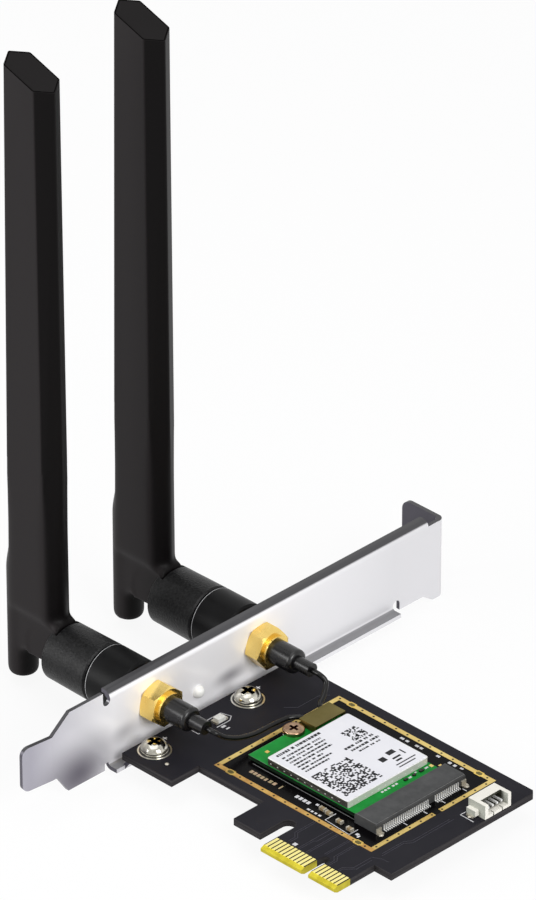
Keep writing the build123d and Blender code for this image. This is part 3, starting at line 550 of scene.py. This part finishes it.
def makeHeader(s):
    finish, tree, shader, coords = startFinish("headerIvory", 0.0, s["specular"], s["roughness"])
    low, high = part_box("header_shell")
    wall = s["wall"] * mm
    ivory = cloudy(tree, coords, s["toneScale"], s["ivory"], s["ivoryDeep"])
    # painted shade on the faces looking along -y
    ivory = mixColours(tree, facing(tree, 1, -1, *s["sideTurn"]), ivory, s["side"])
    axes = axesOf(tree, coords.outputs["Object"])
    # painted shade down in the pocket
    shade = ramp(tree, axes[0], high[0] - s["pocketStart"] * mm, high[0] - s["pocketDark"] * mm)
    sunk = maths(tree, "LESS_THAN", axes[2], high[2] - s["rim"] * mm)
    within = insideMask(tree, coords, (low[0] + s["backWall"] * mm, low[1] + wall), (high[0], high[1] - wall))
    shade = combine(tree, "MULTIPLY", [shade, sunk, within])
    feed(tree, shader.inputs["Base Color"], mixColours(tree, shade, ivory, s["pocketShade"]))
    addBump(tree, shader, coords, *s["bump"])
    dress(finish, "header_shell")


makeHeader(headerSettings)

# plated lands: a bright rim round a dark band under the screw heads
landSettings = {
    "rim": 3.18, "radius": 3.5, "bright": (0.80, 0.79, 0.74), "dark": (0.016, 0.016, 0.018), "roughness": 0.3,
}


def makeLands(s):
    finish, tree, shader, coords = startFinish("landTinRim", roughness=s["roughness"])
    low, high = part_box("screw_lands")
    axes = axesOf(tree, coords.outputs["Object"])
    flat = addNode(tree, "ShaderNodeCombineXYZ", {0: axes[0], 1: axes[1]}).outputs[0]
    reaches = []
    for line in (low[1] + s["radius"] * mm, high[1] - s["radius"] * mm):
        centre = ((low[0] + high[0]) / 2, line, 0.0)
        reach = addNode(tree, "ShaderNodeVectorMath", {0: flat, 1: centre}, operation="DISTANCE")
        reaches.append(reach.outputs["Value"])
    rim = maths(tree, "GREATER_THAN", combine(tree, "MINIMUM", reaches), s["rim"] * mm)
    feed(tree, shader.inputs["Base Color"], mixColours(tree, rim, s["dark"], s["bright"]))
    feed(tree, shader.inputs["Metallic"], rim)
    dress(finish, "screw_lands")


makeLands(landSettings)
print("finishes:", len(bpy.data.materials))


def startTree(name, sockets=()):
    tree = bpy.data.node_groups.new(name, "GeometryNodeTree")
    for label, kind in (("Geometry", "Geometry"), *sockets, ("Material", "Material")):
        tree.interface.new_socket(name=label, in_out="INPUT", socket_type="NodeSocket" + kind)
    tree.interface.new_socket(name="Geometry", in_out="OUTPUT", socket_type="NodeSocketGeometry")
    return tree, addNode(tree, "NodeGroupInput").outputs


def endTree(tree, given, geometry):
    realize = addNode(tree, "GeometryNodeRealizeInstances", {0: geometry})
    paint = addNode(tree, "GeometryNodeSetMaterial", {"Geometry": realize.outputs[0], "Material": given["Material"]})
    addNode(tree, "NodeGroupOutput", {0: paint.outputs[0]})
    return tree


# a flat strip along each path: silk lines, traces, rims
def makeStripTree():
    tree, given = startTree("stripAlongPath", (("Width", "Float"), ("Thickness", "Float")))
    curve = addNode(tree, "GeometryNodeMeshToCurve", {"Mesh": given["Geometry"]})
    level = addNode(tree, "GeometryNodeSetCurveNormal", {"Curve": curve.outputs[0]}, mode="Z_UP")
    profile = addNode(tree, "GeometryNodeCurvePrimitiveQuadrilateral", {
        "Width": given["Width"], "Height": given["Thickness"]})
    sweep = addNode(tree, "GeometryNodeCurveToMesh", {
        "Curve": level.outputs[0], "Profile Curve": profile.outputs[0], "Fill Caps": True})
    return endTree(tree, given, sweep.outputs[0])


# round spots at even steps along each path: plated holes
def makeSpotTree():
    tree, given = startTree("spotsAlongPath", (("Step", "Float"), ("Radius", "Float"), ("Thickness", "Float")))
    curve = addNode(tree, "GeometryNodeMeshToCurve", {"Mesh": given["Geometry"]})
    steps = addNode(tree, "GeometryNodeResampleCurve", {
        "Curve": curve.outputs[0], "Length": given["Step"]}, mode="LENGTH")
    disc = addNode(tree, "GeometryNodeMeshCylinder", {
        "Vertices": 12, "Radius": given["Radius"], "Depth": given["Thickness"]})
    place = addNode(tree, "GeometryNodeInstanceOnPoints", {
        "Points": steps.outputs[0], "Instance": disc.outputs["Mesh"]})
    return endTree(tree, given, place.outputs[0])


# one solid on each point, sized by the point's own blockSize
def placeOnPoints(tree, given, solid):
    size = addNode(tree, "GeometryNodeInputNamedAttribute", {"Name": "blockSize"}, data_type="FLOAT_VECTOR")
    place = addNode(tree, "GeometryNodeInstanceOnPoints", {
        "Points": given["Geometry"], "Instance": solid, "Scale": size.outputs["Attribute"]})
    return endTree(tree, given, place.outputs[0])


# small blocks: print, chip caps, specks
def makeBlockTree():
    tree, given = startTree("blocksOnPoints")
    block = addNode(tree, "GeometryNodeMeshCube", {"Size": (1.0, 1.0, 1.0)})
    return placeOnPoints(tree, given, block.outputs["Mesh"])


# low domes: solder
def makeDomeTree():
    tree, given = startTree("domesOnPoints")
    dome = addNode(tree, "GeometryNodeMeshUVSphere", {"Segments": 12, "Rings": 8, "Radius": 0.5})
    smooth = addNode(tree, "GeometryNodeSetShadeSmooth", {"Geometry": dome.outputs["Mesh"]})
    return placeOnPoints(tree, given, smooth.outputs[0])


# a field of cells, some of them left out at random: the label's printed patches
def makePatchTree():
    tree, given = startTree("printedPatch", (
        ("Width", "Float"), ("Length", "Float"), ("Columns", "Int"), ("Rows", "Int"),
        ("Cell", "Vector"), ("Left Out", "Float"), ("Seed", "Int"), ("Place", "Vector")))
    grid = addNode(tree, "GeometryNodeMeshGrid", {
        "Size X": given["Width"], "Size Y": given["Length"],
        "Vertices X": given["Columns"], "Vertices Y": given["Rows"]})
    chance = addNode(tree, "FunctionNodeRandomValue", {
        "Probability": given["Left Out"], "Seed": given["Seed"]}, data_type="BOOLEAN")
    picked = next(socket for socket in chance.outputs if socket.type == "BOOLEAN")
    thin = addNode(tree, "GeometryNodeDeleteGeometry", {
        "Geometry": grid.outputs["Mesh"], "Selection": picked}, domain="POINT")
    cell = addNode(tree, "GeometryNodeMeshCube", {"Size": given["Cell"]})
    place = addNode(tree, "GeometryNodeInstanceOnPoints", {
        "Points": thin.outputs[0], "Instance": cell.outputs["Mesh"]})
    shift = addNode(tree, "GeometryNodeTransform", {"Geometry": place.outputs[0], "Translation": given["Place"]})
    return endTree(tree, given, shift.outputs[0])


stripTree = makeStripTree()
spotTree = makeSpotTree()
blockTree = makeBlockTree()
domeTree = makeDomeTree()
patchTree = makePatchTree()


def plainMesh(work):
    scene.view_layers[0].update()
    depsgraph = bpy.context.evaluated_depsgraph_get()
    plain = bpy.data.meshes.new_from_object(work.evaluated_get(depsgraph), depsgraph=depsgraph)
    bpy.data.objects.remove(work)
    return plain


def meshFrom(bm, name, *litFlank):
    mesh = bpy.data.meshes.new(name)
    bm.to_mesh(mesh)
    bm.free()
    for finish in litFlank:
        mesh.materials.append(finishes[finish])
    return mesh


def addPiece(name, mesh, body):
    piece = addObject(name, mesh)
    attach(piece, body)
    return piece


def grow(name, mesh, tree, finish, values, body="card"):
    work = addObject(name + "Work", mesh)
    modifier = work.modifiers.new("grow", "NODES")
    modifier.node_group = tree
    values = dict(values, Material=finishes[finish])
    for item in tree.interface.items_tree:
        if item.in_out == "INPUT" and item.name in values:
            modifier[item.identifier] = values[item.name]
    plain = plainMesh(work)
    plain.name = name
    addPiece(name, plain, body)
    print("  piece", name, len(plain.polygons), "faces")


def pathMesh(name, paths):
    points, edges = [], []
    for path in paths:
        edges.extend((len(points) + i, len(points) + i + 1) for i in range(len(path) - 1))
        points.extend(tuple(value * mm for value in point) for point in path)
    mesh = bpy.data.meshes.new(name)
    mesh.from_pydata(points, edges, [])
    return mesh


def growStrips(name, paths, finish, width, thickness, body="card"):
    grow(name, pathMesh(name, paths), stripTree, finish, {"Width": width * mm, "Thickness": thickness * mm}, body)


# blocks: (centre, size) in millimetres
def growOnPoints(name, blocks, finish, tree=blockTree):
    mesh = bpy.data.meshes.new(name)
    mesh.from_pydata([tuple(value * mm for value in centre) for centre, size in blocks], [], [])
    sizes = mesh.attributes.new("blockSize", "FLOAT_VECTOR", "POINT")
    for entry, (centre, size) in zip(sizes.data, blocks):
        entry.vector = [value * mm for value in size]
    grow(name, mesh, tree, finish, {})


def boxOf(node):
    return [[value / mm for value in corner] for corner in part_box(node)]


def topOf(node):
    return boxOf(node)[1][2]


def raised(points, z):
    return [(x, y, z) for x, y in points]


# plated frame: dark holes along the strip and a wider contact spot near each end of its long sides
frameSettings = {
    "strip": 1.1, "holeStep": 3.1, "holeRadius": 0.24, "holeThickness": 0.02,
    "gapLine": 33.1, "gap": 1.8, "gapEnd": 0.55,
    # each spot is a flat lens with a raised olive middle: share of its size, height
    "spotInset": 3.6, "spot": (2.6, 1.5), "spotLayers": ((1.0, 0.012), (0.62, 0.020)),
    "spotRoot": 0.04, "spotSide": 0.6,
}


def makeFrameDetail(s):
    half = s["strip"] / 2
    left, low = (value / mm + half for value in frameLow[:2])
    right, high = (value / mm - half for value in frameHigh[:2])
    z, root = topOf("plated_frame"), s["spotRoot"]
    gapLow = s["gapLine"] - s["gap"] / 2 - s["gapEnd"]
    gapHigh = s["gapLine"] + s["gap"] / 2 + s["gapEnd"]
    path = raised(((right, gapHigh), (right, high), (left, high), (left, low), (right, low), (right, gapLow)), z)
    values = {"Step": s["holeStep"] * mm, "Radius": s["holeRadius"] * mm, "Thickness": s["holeThickness"] * mm}
    grow("frameHoles", pathMesh("frameHoles", [path]), spotTree, "viaDark", values)

    bm = bmesh.new()
    for x in (left + s["spotInset"], right - s["spotInset"]):
        for y in (low, high):
            for layer, (scale, height) in enumerate(s["spotLayers"]):
                long, wide = (value / 2 * scale for value in s["spot"])
                near = long * s["spotSide"]
                outline = ((-long, 0), (-near, -wide), (near, -wide), (long, 0), (near, wide), (-near, wide))
                base = [bm.verts.new(((x + dx) * mm, (y + dy) * mm, (z - root) * mm)) for dx, dy in outline]
                face = bm.faces.new(base)
                rim = bmesh.ops.extrude_face_region(bm, geom=[face])
                tops = [v for v in rim["geom"] if isinstance(v, bmesh.types.BMVert)]
                bmesh.ops.translate(bm, verts=tops, vec=(0, 0, (root + height) * mm))
                for part in bm.faces:
                    if any(v in tops for v in part.verts) or part is face:
                        part.material_index = layer
    bmesh.ops.recalc_face_normals(bm, faces=bm.faces)
    addPiece("frameSpots", meshFrom(bm, "frameSpots", "framePaleGold", "coverOliveGold"), "card")


makeFrameDetail(frameSettings)
print("plated frame detailed")

# label print: rows of dashes, two seeded patches of cells, plain fields
labelSettings = {
    "seed": 7, "ink": 0.03, "dash": (0.28, 0.95), "dashHeight": (0.8, 1.0),
    "gap": 0.17, "gapShare": 0.82, "wordGap": 0.6, "overrun": 0.1,
    # x of the row, first y, last y, height of the dashes
    "rows": (
        (-29.35, 21.8, 34.4, 0.78), (-27.95, 22.0, 32.7, 0.52), (-26.88, 22.0, 32.9, 0.52),
        (-25.80, 22.0, 32.4, 0.52), (-24.72, 22.0, 32.6, 0.52), (-23.64, 22.0, 29.0, 0.52),
        (-22.56, 22.0, 30.4, 0.52), (-21.48, 22.0, 28.6, 0.52), (-21.50, 33.2, 41.0, 0.66),
        (-20.25, 33.8, 41.4, 0.66), (-19.05, 34.8, 40.6, 0.50),
    ),
    "bigPatch": {"centre": (-14.5, 26.6), "size": (9.5, 10.0), "cells": (27, 28)},
    "smallPatch": {"centre": (-24.25, 38.85), "size": (3.7, 3.8), "cells": (13, 13)},
    "leftOut": 0.52, "cellFill": 1.02,
    # centre x, centre y, size x, size y
    "fields": (
        (-13.6, 35.9, 1.5, 1.5), (-14.4, 38.9, 1.3, 2.0), (-12.4, 38.6, 0.5, 2.2), (-11.4, 38.3, 0.5, 1.6),
        (-13.0, 40.9, 1.8, 0.35), (-10.3, 39.1, 0.30, 5.4), (-9.4, 38.6, 0.30, 4.6),
    ),
}


def makeLabelPrint(s):
    z = topOf("module_label")
    chance = random.Random(s["seed"])
    dashes = []
    for x, first, last, height in s["rows"]:
        y = first
        while y < last:
            length = min(chance.uniform(*s["dash"]), last - y + s["overrun"])
            dashes.append(((x, y + length / 2, z), (height * chance.uniform(*s["dashHeight"]), length, s["ink"])))
            y += length + (s["gap"] if chance.random() < s["gapShare"] else s["wordGap"])
    for x, y, width, length in s["fields"]:
        dashes.append(((x, y, z), (width, length, s["ink"])))
    growOnPoints("labelRows", dashes, "printBlack")
    for name, key, seedShift in (("labelBigPatch", "bigPatch", 1), ("labelSmallPatch", "smallPatch", 2)):
        size, cells, centre = (s[key][part] for part in ("size", "cells", "centre"))
        cell = [reach / (count - 1) * s["cellFill"] for reach, count in zip(size, cells)]
        values = {
            "Width": size[0] * mm, "Length": size[1] * mm, "Columns": cells[0], "Rows": cells[1],
            "Cell": (cell[0] * mm, cell[1] * mm, s["ink"] * mm), "Left Out": s["leftOut"],
            "Seed": s["seed"] + seedShift, "Place": (centre[0] * mm, centre[1] * mm, z * mm),
        }
        grow(name, bpy.data.meshes.new("empty"), patchTree, "printBlack", values)


makeLabelPrint(labelSettings)
print("label printed")

# silk on the card: outlines, ticks, crosses and blocks
silkSettings = {
    "ink": 0.03, "line": 0.20, "crossInk": 0.9,
    "outlines": (
        ((-9.7, 18.6), (-9.7, 15.6), (-2.7, 15.2), (-2.7, 17.7)),
        ((-51.65, 23.9), (-51.65, 28.2), (-49.3, 28.9), (-48.4, 27.6), (-48.4, 23.9)),
        ((-51.8, 22.6), (-51.8, 19.6), (-49.3, 19.6), (-49.3, 22.8)),
        ((8.0, 37.2), (8.0, 35.7), (11.6, 35.7)),
    ),
    "moduleLine": ((-34.0, 19.75), (-2.4, 19.75)),
    "ticks": ((2.55, 25.7), (2.55, 31.4), (2.45, 36.6), (2.45, 42.7)), "tick": (1.1, 0.22),
    "crosses": ((-52.9, 40.15), (-53.0, 13.8)), "cross": (1.1, 0.24),
    # centre x, centre y, size x, size y
    "blocks": (
        (-7.86, 5.3, 0.9, 0.9), (-19.4, 17.55, 0.75, 0.95), (-18.35, 17.55, 0.75, 0.95), (-17.3, 17.55, 0.75, 0.95),
        (-16.25, 17.55, 0.75, 0.95), (-14.6, 15.9, 0.75, 0.5), (-13.6, 15.9, 0.55, 0.5), (-12.6, 15.9, 0.6, 0.5),
        (-11.5, 15.9, 0.65, 0.5), (-14.5, 18.3, 0.7, 0.6), (-1.6, 16.4, 0.7, 0.7), (-0.9, 16.0, 0.4, 0.8),
        (-47.7, 25.1, 0.6, 1.1), (-46.6, 25.3, 0.4, 1.0), (-9.6, 47.7, 0.9, 0.6), (-6.3, 47.6, 0.8, 0.7),
        (-4.9, 47.6, 0.7, 0.7), (-3.2, 47.8, 0.8, 0.5), (-19.2, 47.3, 1.0, 0.6), (-17.8, 47.3, 0.8, 0.6),
        (-15.2, 47.4, 0.9, 0.6), (-14.0, 47.4, 0.8, 0.6),
    ),
    "tanBlocks": (
        (-32.1, 17.5, 0.75, 0.95), (-31.1, 17.5, 0.75, 0.95), (-30.1, 17.5, 0.75, 0.95), (-29.1, 17.5, 0.75, 0.95),
        (-28.1, 17.5, 0.6, 0.95), (-26.9, 17.6, 0.75, 0.95), (-25.8, 17.6, 0.75, 0.95), (-24.0, 17.6, 0.35, 1.3),
    ),
}


def makeSilk(s):
    z, ink = topOf("main_board"), s["ink"]

    def flatBlocks(entries):
        return [((x, y, z), (width, length, ink)) for x, y, width, length in entries]

    outlines = [raised(outline, z) for outline in s["outlines"]]
    growStrips("silkOutlines", outlines, "silkWhite", s["line"], ink)
    # a grey line on the card along the module's front edge
    growStrips("greyModuleLine", [raised(s["moduleLine"], z)], "greyLineAndHighlight", s["line"], ink)
    blocks = flatBlocks(s["blocks"]) + flatBlocks([(*tick, *s["tick"]) for tick in s["ticks"]])
    long, wide = s["cross"]
    for x, y in s["crosses"]:
        blocks += [((x, y, z), (long, wide, ink)), ((x, y, z), (wide, long, ink * s["crossInk"]))]
    growOnPoints("silkBlocks", blocks, "silkWhite")
    growOnPoints("silkTanBlocks", flatBlocks(s["tanBlocks"]), "silkTan")


makeSilk(silkSettings)
print("silk drawn")

# raised copper under the mask: pairs that run from the contact pads towards the module
traceSettings = {
    "width": 0.16, "thickness": 0.05, "leastRise": 0.1,
    # x at the pads, first y, bend y, sideways shift, last y
    "runs": (
        (-9.6, 5.2, 7.0, -1.2, 13.6), (-9.1, 5.2, 7.3, -1.2, 13.6), (-6.5, 4.7, 8.0, 0.0, 13.6),
        (-6.05, 4.7, 8.6, 0.5, 13.6), (-4.4, 4.7, 9.0, 0.0, 13.6), (-3.95, 4.7, 9.4, 0.0, 13.6),
        (-1.35, 6.9, 9.6, 0.0, 13.6), (-0.95, 7.1, 10.2, 0.0, 13.6), (1.6, 4.7, 6.6, -1.0, 13.6),
        (2.05, 4.7, 7.0, -1.0, 13.6), (4.4, 4.7, 6.0, 1.6, 12.4), (4.85, 4.7, 5.7, 1.9, 12.0),
    ),
    "sideRuns": (
        ((6.6, 15.0), (6.6, 21.0), (7.6, 22.4), (7.6, 33.0)), ((7.1, 14.4), (7.1, 20.6), (8.2, 22.0), (8.2, 33.6)),
        ((5.8, 12.6), (7.8, 13.6), (9.6, 13.8)), ((-44.0, 38.6), (-42.0, 40.6), (-42.0, 46.6), (-40.6, 48.4)),
    ),
}


def makeTraces(s):
    z = topOf("main_board")
    paths = []
    for x, first, bend, shift, last in s["runs"]:
        rise = max(abs(shift), s["leastRise"])
        paths.append(raised(((x, first), (x, bend), (x + shift, bend + rise), (x + shift, last)), z))
    paths += [raised(run, z) for run in s["sideRuns"]]
    growStrips("cardTraces", paths, "traceMask", s["width"], s["thickness"])


makeTraces(traceSettings)
print("traces laid")

# small parts: end caps on the chips and the lamp, specks on the module, solder
smallSettings = {
    "chips": ((-12.4, 17.7), (-10.55, 17.5), (-6.95, 16.9), (-3.65, 16.4)), "chip": (1.5, 0.8, 0.6),
    "cap": 0.36, "over": 0.04, "lampCap": 0.55, "lampOver": 0.02, "lampTall": 0.44,
    # specks lie on the module within its span of y, else on the card: finish, slot, height, centres and sizes
    "moduleSpan": (20.0, 43.4), "specks": {
        "moduleWhiteSpecks": ("silkWhite", "label_white", 0.03, (
            (-7.3, 29.3, 0.5, 0.6), (-7.3, 30.2, 0.5, 0.6), (-7.3, 31.1, 0.5, 0.6), (-7.3, 32.4, 0.5, 0.6),
            (-7.3, 33.3, 0.5, 0.6), (-7.0, 36.9, 0.45, 0.8), (-7.1, 41.7, 0.45, 0.9), (-7.5, 39.0, 0.35, 0.5))),
        "moduleDarkSpecks": ("chipBlackGlaze", "chip_black", 0.35, (
            (-6.9, 35.6, 0.5, 0.9), (-6.9, 38.0, 0.5, 0.7), (-6.95, 40.1, 0.6, 1.0))),
        "moduleGoldSpecks": ("plugGold", "plug_gold", 0.06, (
            (-33.6, 23.4, 0.8, 0.8), (-6.9, 42.9, 0.9, 0.7), (-5.6, 45.2, 0.9, 0.8), (-6.9, 45.6, 0.8, 0.7))),
    },
    "wallStep": 1.9, "wallStart": 0.6, "wallDrop": 0.15, "wallSpeck": (0.36, 0.05, 0.16),
    # solder at the socket's anchors, the header's ears and the open lands: x, y, width
    "beads": ((1.9, 19.5, 1.1), (1.9, 43.9, 1.1), (9.75, 36.5, 0.9), (9.75, 46.5, 0.9),
              (-46.0, 7.5, 0.9), (-50.5, 20.3, 0.7), (-50.5, 22.4, 0.7)),
    "beadTall": 0.5,
}


def makeSmallParts(s):
    cardTop, moduleTop = topOf("main_board"), topOf("module_board")
    long, wide, tall = s["chip"]
    cap, over, lampCap, lampTall = (s[key] for key in ("cap", "over", "lampCap", "lampTall"))
    caps = []
    for x, y in s["chips"]:
        for side in (-1, 1):
            centre = (x + side * (long - cap + over) / 2, y, cardTop + (tall + over) / 2)
            caps.append((centre, (cap, wide + over, tall + over)))
    low, high = boxOf("indicator_lamp")
    for y in (low[1] + lampCap / 2 - s["lampOver"], high[1] - lampCap / 2 + s["lampOver"]):
        centre = ((low[0] + high[0]) / 2, y, cardTop + lampTall / 2)
        caps.append((centre, (high[0] - low[0] + over, lampCap, lampTall)))
    growOnPoints("chipCaps", caps, "capTin")

    spanLow, spanHigh = s["moduleSpan"]
    for name, (finish, slot, height, entries) in s["specks"].items():
        blocks = []
        for x, y, width, length in entries:
            ground = moduleTop if spanLow < y < spanHigh else cardTop
            blocks.append(((x, y, ground + height / 2), (width, length, height)))
        growOnPoints(name, blocks, finish)

    # bright dimples along the can's two open walls
    low, high = boxOf("module_shield")
    z = (low[2] + high[2]) / 2 - s["wallDrop"]
    run, deep, rise = s["wallSpeck"]
    dimples = []
    for i in range(int((high[0] - low[0]) / s["wallStep"])):
        dimples.append(((low[0] + s["wallStep"] * (i + s["wallStart"]), low[1], z), (run, deep, rise)))
    for i in range(int((high[1] - low[1]) / s["wallStep"])):
        dimples.append(((high[0], low[1] + s["wallStep"] * (i + s["wallStart"]), z), (deep, run, rise)))
    growOnPoints("canDimples", dimples, "tinBright")

    beads = [((x, y, cardTop), (size, size, s["beadTall"])) for x, y, size in s["beads"]]
    growOnPoints("solderBeads", beads, "capTin", domeTree)


makeSmallParts(smallSettings)
print("small parts placed")

# painted highlights: a light line along the socket's two open top edges, and one along the module's top front and left
# edges
rimSettings = {
    "socketInset": 0.16, "socketWidth": 0.16, "socketThickness": 0.04,
    "moduleInset": 0.05, "moduleWidth": 0.10, "moduleThickness": 0.03, "moduleEnd": 1.0,
}


def makeRims(s):
    low, high = boxOf("socket_housing")
    inset = s["socketInset"]
    edge, front = high[0] - inset, low[1] + inset
    path = raised(((low[0] + inset, front), (edge, front), (edge, high[1] - inset)), high[2])
    # painted highlight along the socket's open top edges
    growStrips("socketEdgeHighlight", [path], "greyLineAndHighlight", s["socketWidth"], s["socketThickness"])

    # painted highlight along the module's top front and left edges
    low, high = boxOf("module_board")
    left, front = (value + s["moduleInset"] for value in low[:2])
    path = raised(((left, high[1] - s["moduleEnd"]), (left, front), (boxOf("module_shield")[0][0], front)), high[2])
    growStrips("moduleEdgeHighlight", [path], "greenEdgeHighlight", s["moduleWidth"], s["moduleThickness"])


makeRims(rimSettings)

# elbows: a thin pale ring, a painted highlight, where each turns in its nut; profile: x from the start, height over
# the nut
seamSettings = {
    "steps": 72, "start": 0.30, "taper": 0.35,
    "profile": ((0.0, -0.10), (0.03, 0.0), (0.10, 0.02), (0.16, 0.02), (0.21, -0.06)),
}


def makeSeam(side, s):
    low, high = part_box(side + "_coupling_nut")
    axisY, axisZ = (low[1] + high[1]) / 2, (low[2] + high[2]) / 2
    radius = (high[1] - low[1]) / 2
    bm = bmesh.new()
    rings = []
    for x, height in s["profile"]:
        run = x + s["start"]
        reach = radius + height * mm - s["taper"] * mm * max(0.0, 1.0 - run / s["taper"])
        ring = []
        for i in range(s["steps"]):
            angle = 2 * math.pi * i / s["steps"]
            place = (low[0] + run * mm, axisY + reach * math.cos(angle), axisZ + reach * math.sin(angle))
            ring.append(bm.verts.new(place))
        rings.append(ring)
    for first, second in zip(rings, rings[1:] + rings[:1]):
        for i in range(s["steps"]):
            j = (i + 1) % s["steps"]
            bm.faces.new((first[i], first[j], second[j], second[i]))
    bmesh.ops.recalc_face_normals(bm, faces=bm.faces)
    addPiece(side + "SeamRing", meshFrom(bm, side + "SeamRing", "seamHighlight"), "card")


for side in ("front", "rear"):
    makeSeam(side, seamSettings)
print("rims and seam rings laid")

# antenna blades: crisp above, the foot eased so that the spine runs into the flat, a dark groove round the crown
bladeSettings = {
    "voxel": 0.34, "easing": 0.5, "rounds": 30, "easedTo": 34.0, "crispFrom": 46.0, "cut": 50.0, "sharp": 30.0,
    "hingeReach": 6.3, "relief": 0.12, "slope": 19.0, "crownReach": 0.03,
    "grooveInset": 0.955, "grooveWidth": 0.26, "grooveThickness": 0.05,
}
touching, cutReach = 1e-6, 1e-7  # metres: points that are one, points that lie on a cut


def mergedBlade(side):
    bm = bmesh.new()
    bm.from_mesh(nodes[side + "_blade"].data)
    bmesh.ops.remove_doubles(bm, verts=bm.verts, dist=touching)
    return bm


def cutAt(bm, height, keepAbove):
    geometry = list(bm.verts) + list(bm.edges) + list(bm.faces)
    bmesh.ops.bisect_plane(
        bm, geom=geometry, dist=cutReach, plane_co=(0, 0, height), plane_no=(0, 0, 1),
        clear_inner=keepAbove, clear_outer=not keepAbove)
    bmesh.ops.holes_fill(bm, edges=[e for e in bm.edges if e.is_boundary], sides=0)


def easedFoot(side, s):
    work = addObject(side + "BladeWork", meshFrom(mergedBlade(side), side + "BladeWork"))
    remesh = work.modifiers.new("remesh", "REMESH")
    remesh.mode = "VOXEL"
    remesh.voxel_size = s["voxel"] * mm
    plain = plainMesh(work)

    pinLow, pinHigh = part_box(side + "_hinge_pin")
    pivotX, pivotZ = (pinLow[0] + pinHigh[0]) / 2, (pinLow[2] + pinHigh[2]) / 2

    def fromPin(v):
        return math.hypot(v.co.x - pivotX, v.co.z - pivotZ)

    bm = bmesh.new()
    bm.from_mesh(plain)
    cutAt(bm, s["cut"] * mm, False)
    loose = [v for v in bm.verts if fromPin(v) > s["hingeReach"] * mm]
    for step in range(s["rounds"]):
        limit = s["crispFrom"] + (s["easedTo"] - s["crispFrom"]) * step / s["rounds"]  # the easing fades up the blade
        bmesh.ops.smooth_vert(
            bm, verts=[v for v in loose if v.co.z < limit * mm], factor=s["easing"],
            use_axis_x=True, use_axis_y=True, use_axis_z=True)
    # the hinge's own faces step back a little, so that the fold keeps its clearance
    bm.normal_update()
    for v in bm.verts:
        depth = s["hingeReach"] - fromPin(v) / mm
        v.co -= v.normal * s["relief"] * mm * min(max(depth, 0.0), 1.0)
    for face in bm.faces:
        face.smooth = True
    for edge in bm.edges:  # the cut stays sharp, so that no line shows where the two halves meet
        edge.smooth = any(abs(v.co.z - s["cut"] * mm) > touching for v in edge.verts)
    bm.to_mesh(plain)
    bm.free()
    return plain


def makeBlade(side, s):
    foot = easedFoot(side, s)
    bm = mergedBlade(side)
    cutAt(bm, s["cut"] * mm, True)
    for face in bm.faces:
        face.smooth = True
    for edge in bm.edges:
        edge.smooth = len(edge.link_faces) == 2 and edge.calc_face_angle() < math.radians(s["sharp"])
    top = max((v.co for v in bm.verts), key=lambda p: p.z)
    fall = math.tan(math.radians(s["slope"]))
    crown = [
        v.co.copy() for v in bm.verts
        if abs(top.z - fall * (v.co.x - top.x) - v.co.z) < s["crownReach"] * mm]
    bm.from_mesh(foot)
    mesh = meshFrom(bm, side + "BladeSkin", "bladeSatinBlack")
    skin = addPiece(side + "BladeSkin", mesh, side + "_antenna")
    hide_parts(side + "_blade")
    print("  blade", side, len(mesh.polygons), "faces,", len(crown), "crown points")

    middle = sum(crown, Vector()) / len(crown)
    ring = [middle + (p - middle) * s["grooveInset"] for p in crown]
    ring.sort(key=lambda p: math.atan2(p.y - middle.y, p.x - middle.x))
    path = [tuple(value / mm for value in p) for p in ring + ring[:1]]
    growStrips(side + "CrownGroove", [path], "grooveBlack", s["grooveWidth"], s["grooveThickness"],
               side + "_antenna")


for side in ("front", "rear"):
    makeBlade(side, bladeSettings)
print("blades eased")

scene.view_layers[0].update()
